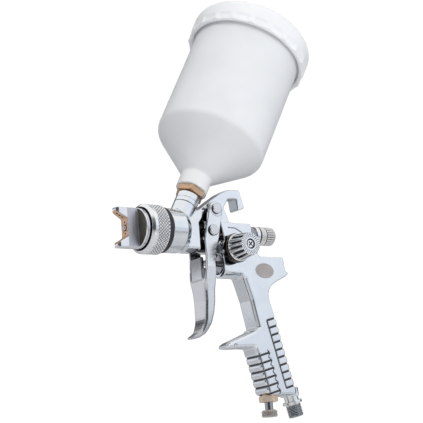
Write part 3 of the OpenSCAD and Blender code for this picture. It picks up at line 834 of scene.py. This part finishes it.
def arm_pin_nut(name, node, body, at, r):
    face = -ARM_OUT - 2.1
    outline = rounded([
        (face, r + 0.02, 0), (face, PIN_HEAD_R, 0.5), (-ARM_OUT - 0.1, PIN_HEAD_R, 0.1),
        (-ARM_OUT - 0.1, r + 0.02, 0),
    ], 0.1, 4)
    turned(name, body, [PIN_FACE], at, Y,
           fine(outline, face - 0.01, face + 0.01, 0.3), [node], slotted(1.2, 0.9, face),
           sides=120)


def fluid_bush():
    outline = rounded([
        (-101.3, 4.05), (-84, 4.05), (-84, 6), (-90, 6), (-90, 6.8, 0.3), (-97.4, 6.8, 0.1),
        (-97.5, 7.6, 0.4), (-101.3, 7.6, 0.4),
    ], 0.2, 3)
    turned("needle_bush", "gun", [RING, DARK_CHROME_AND_SHADE], CENTRE, X, outline,
           ["fluid_bush"], pick=lambda t, r: int(t > -97.45))


def regulator_nut():
    outline = rounded([
        (-139.8, 3.45), (-139.8, 7.1), (-139.2, 8.08), (-135.4, 8.08), (-134.8, 7.3), (-134.8, 5),
        (-125.3, 5), (-125.3, 3.45),
    ], 0.15, 2)
    # The nut's brassy tint is a painted reflection
    turned("valve_nut", "gun", [NUT_STEEL_PAINTED_REFLECTION], REGULATOR, Z,
           fine(outline, -140, -134.7, 0.25), ["regulator_nut"], hexed(14, math.radians(14)),
           sides=144, smooth=25)


INLET_PITCH, STEM_PITCH = 1.337, 0.8


def thread_wave(t, a, pitch):
    """A thread's profile, 1 in its valleys and 0 on its crests."""
    return np.abs(2 * ((t / pitch - a / (2 * math.pi)) % 1) - 1)


def air_inlet():
    def thread(t, r, a):
        ridge = np.clip(thread_wave(t, a, INLET_PITCH) * 1.25 - 0.12, 0, 1)
        full = ease(t, 0.4, 1.4) * (1 - ease(t, 9.4, 10.2)) * (r > 6.2)
        return -0.82 * ridge * full, 0 * r
    outline = [
        (0, 4), (-0.02, 5.7), (0.8, 6.55), (9.9, 6.55), (10.3, 5.9), (10.9, 5.9), (11.0, 8.0),
        (11.2, 8.2), (13.2, 8.2), (13.4, 8.0), (13.4, 6), (22, 6), (22, 4),
    ]
    turned("inlet_thread", "gun", [THREAD, RING], INLET, INLET_AXIS,
           fine(outline, 0.7, 10, 0.13), ["air_inlet"], thread, sides=120,
           pick=lambda t, r: int(t > 10.5), smooth=35)


# ---- ring, wire and air cap ----

KNURLS = 46
RING_R = 20.3


def cap_ring():
    """The ring's rear two thirds are diamond knurled, with painted shade in the knurl's hollows and
    on the dark step round the wire.
    """
    def hollow(t, r, a):
        pitch = 2 * math.pi * RING_R / KNURLS
        left = a * KNURLS / (2 * math.pi) + t / pitch
        right = a * KNURLS / (2 * math.pi) - t / pitch
        hill = np.minimum(1 - np.abs(2 * (left % 1) - 1), 1 - np.abs(2 * (right % 1) - 1))
        return (1 - np.clip(hill * 1.35, 0, 1)) * (r > RING_R - 0.1) * (t > 0.9) * (t < 11.3)
    def knurl(t, r, a):
        return -0.45 * hollow(t, r, a), 0 * r
    # Painted shade in the knurl's hollows and on the step round the wire
    def painted_shade(t, r, a):
        step = (r < 17.95) & (r > 16.5) & (t > 13)
        return np.maximum(0.95 * ease(hollow(t, r, a), 0.6, 0.84), 0.9 * step)
    outline = [
        (0, 16.3), (0, 19.6), (0.6, RING_R), (11.6, RING_R), (11.8, 20.1), (12.0, RING_R),
        (14.4, 20.2), (14.9, 19.7), (16.4, 18.1), (16.5, 17.96), (16.5, 17.7), (15.3, 17.7),
        (15.3, 16.9), (13.5, 16.9), (13.5, 18.5), (10.4, 18.5), (10.4, 16.3),
    ]
    turned("knurled_ring", "cap_ring", [RING], CENTRE, X,
           fine(outline, 0.5, 11.7, 0.22), ["cap_ring"], knurl, sides=KNURLS * 12, smooth=60,
           painted_shade=painted_shade)


def retaining_wire():
    wire_r = 0.42
    outline = [(16 + wire_r * math.cos(k * math.pi / 6), 17.2 + wire_r * math.sin(k * math.pi / 6))
               for k in range(12)]
    turned("snap_wire", "cap_ring", [BLACK_GLOSS_AND_SHADE], CENTRE, X, outline,
           ["retaining_wire"], sides=128, smooth=80)


HORN_OUTLINE = rounded([
    (20, -17), (38.6, -17), (40.3, -15.2), (40.3, -12.8), (31, -7.6, 1.5), (31, 7.6, 1.5),
    (40.3, 12.8), (40.3, 15.2), (38.6, 17), (20, 17),
], 0.5)


CAP_FACE_R = 16.6


def cap_field(p):
    flange = rod(p, CENTRE, X, 10.7, 13.2, 18.3, 0.3)
    face = rod(p, CENTRE, X, 10.7, 21, CAP_FACE_R, 0.7)
    chamfer = (p[:, 0] + np.abs(p[:, 1]) - 42.6) * math.sqrt(0.5)
    # The horns thin towards their tips
    half = 5 - 0.11 * np.maximum(p[:, 0] - 31, 0)
    bar = slab(p, HORN_OUTLINE, half, 0.3)
    bar = meet(meet(bar, np.hypot(p[:, 1], p[:, 2]) - CAP_FACE_R, 0.3), chamfer, 0.2)
    solid = np.minimum(np.minimum(flange, face), bar)
    reach = np.hypot(p[:, 1], p[:, 2])
    bore = np.interp(p[:, 0], [10, 19.4, 27], [13.5, 4.3, 3.0])
    hollow = np.maximum(np.maximum(10 - p[:, 0], p[:, 0] - 27), (reach - bore) * 0.75)
    solid = cut(solid, np.minimum(hollow, rod(p, CENTRE, X, 26, 33, 2.6)), 0.2)
    for s in (-1, 1):
        solid = cut(solid, rod(p, (0, 0, 4.6 * s), X, 19, 33, 0.65), 0.1)
        for dy in (-2.6, 2.6):
            solid = cut(solid, rod(p, (0, dy, 2.9 * s), X, 26, 33, 0.45), 0.1)
    return cut(solid, horn_jets(p), 0.1)


def horn_jets(p):
    """Three slanted air holes in the inner face of each horn."""
    holes = [rod(p, (x, 0, s * (8.7 + 0.56 * (x - 32.9))), (-0.64, 0, s * 0.77), -3, 3, 0.75)
             for s in (-1, 1) for x in (32.9, 35.2, 37.5)]
    return np.minimum.reduce(holes)


def air_cap():
    """The cap is plated, its bar's sides satin, its disc olive, and its horns bare inside."""
    def looks(centres, normals):
        x, y, z = centres.T
        inner = polyline_distance(x, z, [(40.6, 13.0), (31, 7.6), (31, -7.6), (40.6, -13.0)])
        bare = (inner < 0.9) & (np.abs(normals[:, 1]) < 0.75) & (x > 30)
        side = (np.abs(normals[:, 1]) > 0.8) & (x > 21.2) & (x < 31)
        disc = (normals[:, 0] > 0.8) & (x < 22) & (np.hypot(y, z) < 16.2)
        return np.where(bare, 1, np.where(side, 2, np.where(disc, 3, 0)))
    # Painted shade where the cap's rim meets the ring and in the jet holes; a fainter dark line
    # runs round the rim near its front
    def painted_shade(verts):
        x = verts[:, 0]
        rim = (np.hypot(verts[:, 1], verts[:, 2]) > 16.0) & (x < 20)
        gap = np.maximum(0.95 * (x < 17.9), 0.75 * (1 - ease(np.abs(x - 19.1), 0.1, 0.4))) * rim
        return np.maximum(gap, horn_jets(verts) < 0.15)
    field_piece("air_cap_shell", "air_cap", [SILVER, BRONZE, CAP_SATIN, CAP_OLIVE],
                cap_field, (10.6, -18.4, -18.4), (40.4, 18.4, 18.4), CAP_CELL, "air_cap", looks,
                painted_shade)


# ---- trigger ----

TRIGGER_OUTLINE = rounded([
    (-47.3, 22, 2), (-44.7, 15.8), (-41.5, 3.9), (-38.4, -8.7, 10), (-39.2, -21.1, 10),
    (-38.3, -31.9, 8), (-36.8, -41, 20), (-37.4, -58, 40), (-36.4, -75, 20), (-32.6, -83, 8),
    (-25.6, -87, 1.2), (-26, -88.6, 0.9), (-31.5, -88, 6), (-38.4, -84.2, 10), (-43.6, -76.4, 12),
    (-46.4, -68, 20), (-48, -58, 20), (-48.3, -42, 20), (-47.8, -26.5, 10), (-49.8, -16.5, 10),
    (-52.6, -8, 10), (-56.1, 7.2, 10), (-58.4, 15.7, 3), (-57.5, 22, 3),
], 6)
TRIGGER_HOLLOW = rounded([
    (-70, 34), (-20, 34), (-20, -22), (-38.6, -22, 1), (-38.6, -30), (-39.2, -41, 10),
    (-39.8, -58, 30), (-38.8, -75, 15), (-35.2, -82.6, 3), (-32, -85.2, 1), (-36, -95), (-70, -95),
], 0.2)
TRIGGER_Z = [-90, -84, -76, -62, -50, -40, -30, 30]
TRIGGER_WIDE = [6.0, 7.2, 8.5, 9.3, 10.1, 11.4, 12.5, 12.5]


def trigger_field(p):
    def measure(q):
        wide = np.interp(q[:, 2], TRIGGER_Z, TRIGGER_WIDE)
        edge = 0.8 + 2.4 * ease(-q[:, 2], 34, 50)
        arms = slab(q, TRIGGER_OUTLINE, wide, edge)
        ears = rod(q, PIVOT, Y, -ARM_OUT, ARM_OUT, 6.2, 0.7)
        web = block(q, (-39.5, -7.5, -41), (-36.3, 7.5, -21.6), 1.2)
        outside = join(join(arms, ears, 1.0), web, 0.6)
        inside = slab(q, TRIGGER_HOLLOW, wide - 2.5, 1.0)
        either_side = np.stack([q[:, 0], np.abs(q[:, 1]), q[:, 2]], 1)
        gaps = block(either_side, (-42, 7.4, -31), (-33, 10.1, -16), 0.6)
        web_keep = np.maximum(web, -40.5 - q[:, 0])
        shell = cut(outside, np.minimum(np.maximum(inside, -web_keep), gaps), 0.3)
        for at, r in ((PIVOT, 3.05), (NEEDLE_PIN, 3.55)):
            shell = cut(shell, rod(q, at, Y, -14, 14, r), 0.1)
        return shell
    return within(p, (-60, -12.5, -89), (-24, 12.5, 25), measure)


def trigger_painted_shade(verts):
    """Painted shade darkens the lever's inside and, less, the top of the web's front; the lever's
    tip is also darker towards its end.
    """
    x, y, z = verts.T
    wide = np.interp(z, TRIGGER_Z, TRIGGER_WIDE)
    inside = (outline_distance(x, z, TRIGGER_HOLLOW) < 0.4) & (np.abs(y) < wide - 1.9)
    front = (0.2 + 0.55 * ease(z, -44, -24)) * (np.abs(y) < wide - 1.6) * (x > -42)
    tip = 0.35 * ease(-z, 60, 84)
    return np.maximum.reduce([0.88 * inside, front, tip])


def trigger():
    field_piece("trigger_lever", "trigger", [TRIGGER_SATIN], trigger_field,
                (-60, -12.6, -89), (-24, 12.6, 25), TRIGGER_CELL, "trigger", painted_shade=trigger_painted_shade)


# ---- knobs ----

KNOB_RIDGES = 24


def ridged(a):
    """0 in the middle of each straight ridge of a knob, and 1 between two ridges."""
    return np.abs(((a * KNOB_RIDGES / (2 * math.pi)) % 1) * 2 - 1)


def fluid_knob():
    def groove(t, r, a):
        return ease(ridged(a), 0.45, 1) * (r > 7.2) * (t < -108.3) * (t > -116.2)
    # Painted shade in the grooves between the ridges and in the seam groove
    def painted_shade(t, r, a):
        return np.maximum(0.6 * groove(t, r, a), (r < 7.4) & (t < -107.3) & (t > -108.2))
    outline = rounded([
        (-100, 0, 0), (-100, 1.6), (-88, 1.6), (-88, 4), (-102.2, 4), (-102.3, 7.8, 0.4),
        (-107.4, 7.8, 0.3), (-107.5, 7.2, 0.1), (-108, 7.2, 0.1), (-108.1, 7.8, 0.3),
        (-116, 7.8, 0.6), (-117.8, 6.0, 0.4), (-117.8, 0, 0),
    ], 0.3, 4)
    turned("fluid_knob_grip", "fluid_knob", [KNOB_STEEL], CENTRE, X,
           fine(outline, -116.3, -107.9, 0.8), ["fluid_knob"],
           lambda t, r, a: (-0.6 * groove(t, r, a), 0 * r), sides=288, painted_shade=painted_shade)


FLUTES = 14
DOT_START, DOT_ROWS, DOT_PITCH, DOT_GAP = 6.3, 3, 1.25, 1.8


def fan_knob():
    """A black flange and band between a brass and a bright line, a fluted skirt, a dotted face."""
    def valley(t, r, a):
        flute = (np.cos(a * FLUTES) * 0.5 + 0.5) ** 1.3
        return flute * ease(t, 19.2, 20.4) * (r > 9.0) * (t < 33.9)
    def dots(t, r, a):
        row = np.clip(np.round((r - DOT_START) / DOT_PITCH), 0, DOT_ROWS - 1)
        row_r = DOT_START + DOT_PITCH * row
        count = np.round(2 * math.pi * row_r / DOT_GAP)
        spot = np.cos(a * count + row * math.pi) * np.cos((r - row_r) * math.pi / DOT_PITCH)
        return ease(spot, 0.15, 0.5) * (t > 33.8) * (r > 5.4) * (r < 9.3)
    # Painted shade in the flutes' valleys and the face's dots
    def painted_shade(t, r, a):
        return np.maximum(ease(valley(t, r, a), 0.25, 0.7), dots(t, r, a))
    outline = rounded([
        (13, 2.6, 0), (13, 12.0, 0.3), (13.3, 12.3, 0.3), (16.9, 12.3, 0.4), (17, 11.8, 0),
        (17.05, 11.95, 0), (17.25, 11.95, 0), (17.3, 11.7, 0), (18.6, 11.6, 0), (18.65, 11.75, 0),
        (18.9, 11.75, 0), (19, 11.4, 0), (33.3, 9.75, 0.5), (34, 9.4, 0.4), (34, 4.2, 0.2),
        (31.2, 4.2, 0), (31.2, 2.6, 0),
    ], 0.2, 3)
    outline = fine(fine(outline, 18.95, 33.4, 0.9), 33.9, 34.1, 0.2)
    def pick(t, r):
        # Where each band of one material ends, and its number
        bands = [(16.97, 0), (17.27, 1), (18.62, 0), (18.95, 3), (33.5, 2)]
        return next((mat for end, mat in bands if t < end), 3 if r > 4.3 else 0)
    turned("fan_knob_grip", "fan_knob", [BLACK_GLOSS_AND_SHADE, BRASS, RING, FACE], FAN, Y,
           outline, ["fan_knob"],
           lambda t, r, a: (-1.3 * valley(t, r, a), -0.25 * dots(t, r, a)), sides=420,
           pick=pick, smooth=50, painted_shade=painted_shade)


def fan_knob_screw():
    """A screw with a cross-shaped recess."""
    def cross(t, r, a):
        x, z = np.abs(r * np.cos(a + math.pi / 4)), np.abs(r * np.sin(a + math.pi / 4))
        return (np.minimum(x, z) < 0.52) & (np.maximum(x, z) < 2.4) & (t > 33.4)
    outline = rounded([
        (23, 0, 0), (23, 1.2, 0), (31.4, 1.2, 0), (31.4, 3.4, 0), (33.2, 3.4, 0.4),
        (33.7, 2.9, 0.6), (33.7, 0, 0),
    ], 0.2, 3)
    # The cross recess is darkened with painted shade
    turned("knob_screw", "fan_knob", [FACE], FAN, Y, fine(outline, 33.6, 33.8, 0.12),
           ["fan_knob_screw"], lambda t, r, a: (0 * r, -0.8 * cross(t, r, a)), sides=180,
           smooth=30, painted_shade=cross)


def spring(name, node, body, held, pushed, z, coil_r, wire_r, turns):
    """A coil spring along x from its held end to its pushed end, where its body is."""
    steps, sides = 24, 10  # cuts in a turn, and round the wire
    rings = turns * steps
    i = np.arange(rings + 1)[:, None]
    around, tube = 2 * math.pi * i / steps, 2 * math.pi * np.arange(sides)[None, :] / sides
    reach = coil_r + wire_r * np.cos(tube)
    x = held + wire_r + (pushed - held - 2 * wire_r) * i / rings + wire_r * np.sin(tube)
    verts = np.stack([x, reach * np.cos(around), z + reach * np.sin(around)], -1).reshape(-1, 3)
    faces = [tuple(reversed(range(sides))), tuple(rings * sides + j for j in range(sides))]
    for start in range(0, rings * sides, sides):
        for j in range(sides):
            m = (j + 1) % sides
            faces.append((start + j, start + m, start + sides + m, start + sides + j))
    obj = add_piece(name, body, [STEEL], verts, faces, [node])
    face_out(obj)
    tuple(to_row((pushed, 0, z)))
    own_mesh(obj)


def fan_knob_seal():
    outline = rounded([(31.4, 3.45), (31.4, 4.1), (33.6, 4.1), (33.6, 3.45)], 0.25, 3)
    turned("knob_seal", "fan_knob", [BLACK], FAN, Y, outline,
           ["fan_knob_seal"], sides=64)


def regulator_stem():
    def thread(t, r, a):
        return -0.22 * thread_wave(t, a, STEM_PITCH) * (r > 3.2) * (t > -146) * (t < -126), 0 * r
    outline = rounded([
        (-149, 0, 0), (-149, 3.4), (-124.3, 3.4), (-124.3, 2.4), (-114.5, 2.4), (-111.5, 0.8, 0.2),
        (-111.5, 0, 0),
    ], 0.2, 2)
    turned("regulator_spindle", "regulator", [DARK_CHROME_AND_SHADE], REGULATOR, Z,
           fine(outline, -148, -125, 0.13), ["regulator_stem"], thread, sides=72)


def regulator_knob():
    def knurl(t, r, a):
        return -0.5 * ease(ridged(a), 0.4, 1) * (r > 6.2) * (t > -151.8) * (t < -147.6), 0 * r
    outline = rounded([
        (-152, 0, 0), (-152, 6.1, 0.3), (-151.5, 6.5, 0.3), (-147.5, 6.5, 0.4), (-146.4, 5.4, 0.5),
        (-146.2, 3.4, 0), (-149, 3.4, 0), (-149, 0, 0),
    ], 0.2, 3)
    turned("regulator_thumb_knob", "regulator", [KNOB_BROWN], REGULATOR, Z,
           fine(outline, -152.1, -147.4, 0.6), ["regulator_knob"], knurl, sides=240)


# ---- cup and lid ----

def cup():
    outline = rounded([
        (41.3, 13.1, 0.5), (54.8, 13.1, 3), (90.1, 46.6, 6.8), (190, 46.6, 0.8), (191.5, 48.2, 0.8),
        (203, 48.2, 0.8), (204.5, 47.2, 0.5), (204.5, 45, 0.5), (90.8, 45, 5.2), (53.9, 9.1, 0.5),
        (41.3, 9.1, 0.3),
    ], 0.5, 8)
    turned("cup_shell", "cup", [CUP_NYLON], CUP, CUP_AXIS, outline, ["cup"],
           sides=160, smooth=60)


def cup_nut():
    outline = rounded([
        (35.7, 7, 0), (35.7, 11.4), (36.3, 12.4), (40.6, 12.4), (41.2, 11.6), (41.2, 9), (53.8, 9),
        (53.8, 4.2, 0), (50.5, 4.2, 0), (50.5, 7, 0),
    ], 0.15, 2)
    turned("cup_hex_nut", "cup", [BRASS], CUP, CUP_AXIS,
           fine(outline, 35.6, 41.3, 0.3), ["cup_nut"], hexed(21.5), sides=144, smooth=25)


LUGS, LUG_R = 20, 52


def lid():
    def lug(t, r, a):
        across = np.abs(((a * LUGS / (2 * math.pi) + 0.5) % 1) - 0.5) * 2 * math.pi / LUGS * LUG_R
        raised = (1 - ease(across, 1.2, 3.4)) * (r > 50.9) * (r < LUG_R) * (t > 187.2) * (t < 192.6)
        return raised, 0 * r
    outline = rounded([
        (210.6, 6, 0.2), (210.6, 52.5, 9), (194.6, 52.5, 2), (192.2, 51.5, 1.5),
        (187.2, 51.5, 0.2), (186.7, 51.1, 0.3), (186.7, 48.6, 0.4), (206, 48.6, 0.5),
        (206, 1.5, 0), (209.3, 1.5, 0), (209.3, 6, 0.2),
    ], 0.3, 8)
    turned("cup_lid", "lid", [LID_NYLON], CUP, CUP_AXIS,
           fine(outline, 187, 193.2, 0.8), ["lid"], lug, sides=400)


def vent_plug():
    outline = rounded([
        (209.35, 0.9), (209.35, 5.9), (210.8, 5.9, 0.3), (211.4, 4.9, 0.6), (211.4, 0.9, 0.2),
    ], 0.1, 4)
    turned("lid_vent", "lid", [BLACK], CUP, CUP_AXIS, outline, ["vent_plug"],
           sides=72)


# ---- CAD nodes that stay ----

def dress_cad_nodes():
    """Every CAD node still shown gets its slot's material and a fine bevel."""
    slots = {part["node"]: part["material_slot"] for part in frame["record"]["subparts"]}
    for name, obj in frame["nodes"].items():
        if obj.hide_render:
            continue
        obj.data.materials.clear()
        obj.data.materials.append(SLOT_LOOKS[slots[name]])
        bevel = obj.modifiers.new("eased", "BEVEL")
        bevel.width = 0.12 * MM
        bevel.segments = 2
        bevel.limit_method = "ANGLE"


def build():
    gun_body()
    badge_patch()
    head_gasket()
    inlet_adapter()
    arm_pin("pivot_pin_headed", "pivot_pin", "gun", PIVOT, 3.0)
    arm_pin_nut("pivot_pin_nut", "pivot_nut", "gun", PIVOT, 3.0)
    arm_pin("needle_pin_headed", "needle_pin", "needle_pin", NEEDLE_PIN, 3.5)
    arm_pin_nut("needle_pin_cap", "needle_pin_nut", "needle_pin", NEEDLE_PIN, 3.5)
    fluid_bush()
    regulator_nut()
    air_inlet()
    cap_ring()
    retaining_wire()
    air_cap()
    trigger()
    spring("needle_coil", "needle_spring", "needle",
           held=-87.9, pushed=-70.1, z=0, coil_r=3.5, wire_r=0.5, turns=7)
    spring("air_valve_coil", "air_valve_spring", "air_valve",
           held=-111.8, pushed=-84.1, z=VALVE.z, coil_r=3.8, wire_r=0.55, turns=8)
    fluid_knob()
    fan_knob()
    fan_knob_screw()
    fan_knob_seal()
    regulator_stem()
    regulator_knob()
    cup()
    cup_nut()
    lid()
    vent_plug()
    dress_cad_nodes()


# ---- floor, light and camera ----

AIM = ORIGIN + Vector((-34.7, 29.0, 11.3)) * MM
DISTANCE = 1.4
AZIMUTH, ELEVATION, ROLL = math.radians(142.9), math.radians(-11.35), math.radians(4.34)
LENS = 147.6
LAMPS = [  # name, place and diameter in metres, and watts
    ("key", (0.1, 1.7, 1.0), 1.2, 15),
    ("fill", (1.5, -0.7, 1.7), 1.0, 12),
    ("low", (0.5, 1.5, -0.2), 1.0, 10),
]


def floor():
    """A wide pale floor well below the gun, which hangs from its hook."""
    radius, level, sides = 4.0, -0.45, 128  # metres, and the disc's corners
    angles = [2 * math.pi * i / sides for i in range(sides)]
    rim = [(radius * math.cos(a), radius * math.sin(a), level) for a in angles]
    mesh = bpy.data.meshes.new("floor")
    mesh.from_pydata(rim, [], [tuple(range(sides))])
    mat, nodes, links, shader = new_material("floor")
    links.new(ramp(nodes, links, noise(nodes, links, 3), (0.54, 0.54, 0.55), (0.58, 0.58, 0.59)),
              shader.inputs["Base Color"])
    shader.inputs["Roughness"].default_value = 0.8
    mesh.materials.append(mat)
    obj = bpy.data.objects.new("floor", mesh)
    bpy.context.scene.collection.objects.link(obj)


def long_ramp(nodes, links, source, low, high, stops):
    """Colour along source, which runs from low to high; a stop is a value and a colour."""
    node = nodes.new("ShaderNodeValToRGB")
    links.new(source.outputs["Result"], node.inputs["Fac"])
    elements = node.color_ramp.elements
    while len(elements) > 1:
        elements.remove(elements[-1])
    for i, (value, colour) in enumerate(stops):
        place = (value - low) / (high - low)
        stop = elements[0] if i == 0 else elements.new(place)
        stop.position = place
        stop.color = (*colour, 1)
    return node.outputs["Color"]


def world():
    """A studio round the gun: a tall softbox to its left, a white ceiling, and dim gaps between.

    Behind the gun is plain white. Stops are an azimuth in degrees or a height from -1 to 1.
    """
    scene = bpy.context.scene
    scene.world = bpy.data.worlds.new("studio")
    scene.world.use_nodes = True
    nodes, links = scene.world.node_tree.nodes, scene.world.node_tree.links
    nodes.clear()
    coords = nodes.new("ShaderNodeTexCoord")
    split = nodes.new("ShaderNodeSeparateXYZ")
    links.new(coords.outputs["Generated"], split.inputs["Vector"])
    turn = nodes.new("ShaderNodeMath")
    turn.operation = "ARCTAN2"
    links.new(split.outputs["Y"], turn.inputs[0])
    links.new(split.outputs["X"], turn.inputs[1])
    azimuth = nodes.new("ShaderNodeMapRange")
    azimuth.inputs["From Min"].default_value = -math.pi
    azimuth.inputs["From Max"].default_value = math.pi
    links.new(turn.outputs["Value"], azimuth.inputs["Value"])
    height = nodes.new("ShaderNodeMapRange")
    height.inputs["From Min"].default_value = -1
    links.new(split.outputs["Z"], height.inputs["Value"])

    def by_azimuth(stops):
        return long_ramp(nodes, links, azimuth, -180, 180, stops)

    def by_height(stops):
        return long_ramp(nodes, links, height, -1, 1, stops)

    def blend(how, factor, first, second):
        node = nodes.new("ShaderNodeMix")
        node.data_type = "RGBA"
        node.blend_type = how
        sockets = (node.inputs["Factor"], node.inputs[6], node.inputs[7])
        for socket, value in zip(sockets, (factor, first, second)):
            if isinstance(value, bpy.types.NodeSocket):
                links.new(value, socket)
            else:
                socket.default_value = value
        return node.outputs[2]

    walls = by_azimuth([
        (-180, (0.20, 0.21, 0.23)), (-155, (0.24, 0.25, 0.27)), (-125, (0.42, 0.43, 0.46)),
        (-85, (0.50, 0.51, 0.53)), (-53, (0.86, 0.87, 0.90)), (-20, (0.76, 0.77, 0.80)),
        (8, (0.72, 0.74, 0.78)), (26, (0.10, 0.10, 0.11)), (72, (0.03, 0.03, 0.035)),
        (90, (0.45, 0.48, 0.52)), (102, (0.86, 0.90, 0.96)), (148, (0.86, 0.90, 0.96)),
        (163, (0.22, 0.23, 0.25)), (180, (0.20, 0.21, 0.23)),
    ])
    upper = by_azimuth([
        (-180, (0.36, 0.36, 0.37)), (-127, (0.42, 0.42, 0.43)), (-116, (0.14, 0.14, 0.15)),
        (-60, (0.12, 0.12, 0.13)), (-30, (0.12, 0.12, 0.13)), (0, (0.30, 0.30, 0.31)),
        (70, (0.12, 0.12, 0.13)), (100, (0.86, 0.89, 0.94)), (150, (0.86, 0.89, 0.94)),
        (170, (0.36, 0.36, 0.37)), (180, (0.36, 0.36, 0.37)),
    ])
    dim = by_height([(-0.2, (0.84, 0.84, 0.86)), (0.05, (0.76, 0.77, 0.79)), (0.17, (1, 1, 1))])
    low = blend("MULTIPLY", 1.0, walls, dim)
    middle = blend("MIX", by_height([(0.24, (0, 0, 0)), (0.34, (1, 1, 1))]), low, upper)
    ceiling = (0.95, 0.95, 0.95, 1.0)
    dome = blend("MIX", by_height([(0.51, (0, 0, 0)), (0.68, (1, 1, 1))]), middle, ceiling)
    studio = nodes.new("ShaderNodeBackground")
    links.new(dome, studio.inputs["Color"])
    plain = nodes.new("ShaderNodeBackground")
    plain.inputs["Color"].default_value = (1, 1, 1, 1)
    plain.inputs["Strength"].default_value = 1.05
    path = nodes.new("ShaderNodeLightPath")
    choose = nodes.new("ShaderNodeMixShader")
    links.new(path.outputs["Is Camera Ray"], choose.inputs["Fac"])
    links.new(studio.outputs["Background"], choose.inputs[1])
    links.new(plain.outputs["Background"], choose.inputs[2])
    out = nodes.new("ShaderNodeOutputWorld")
    links.new(choose.outputs["Shader"], out.inputs["Surface"])


def soft_light(name, at, size, power):
    """A round lamp aimed at the gun, which shows in no reflection."""
    data = bpy.data.lights.new(name, "AREA")
    data.shape = "DISK"
    data.size = size
    data.energy = power
    obj = bpy.data.objects.new(name, data)
    obj.location = at
    obj.rotation_euler = (AIM - Vector(at)).to_track_quat("-Z", "Y").to_euler()
    obj.visible_glossy = False
    bpy.context.scene.collection.objects.link(obj)


def camera():
    flat = math.cos(ELEVATION)
    back = Vector((math.sin(AZIMUTH) * flat, -math.cos(AZIMUTH) * flat, math.sin(ELEVATION)))
    level = Vector((math.cos(AZIMUTH), math.sin(AZIMUTH), 0))
    upright = back.cross(level)
    right = level * math.cos(ROLL) - upright * math.sin(ROLL)
    up = upright * math.cos(ROLL) + level * math.sin(ROLL)
    data = bpy.data.cameras.new("camera")
    data.lens = LENS
    data.sensor_width = 36
    data.clip_end = 100
    obj = bpy.data.objects.new("camera", data)
    turn = Matrix((right, up, back)).transposed().to_4x4()
    obj.matrix_world = Matrix.Translation(AIM + back * DISTANCE) @ turn
    bpy.context.scene.collection.objects.link(obj)
    bpy.context.scene.camera = obj


build()
floor()
world()
for lamp in LAMPS:
    soft_light(*lamp)
camera()
bpy.context.scene.view_settings.view_transform = "Standard"
bpy.context.view_layer.update()
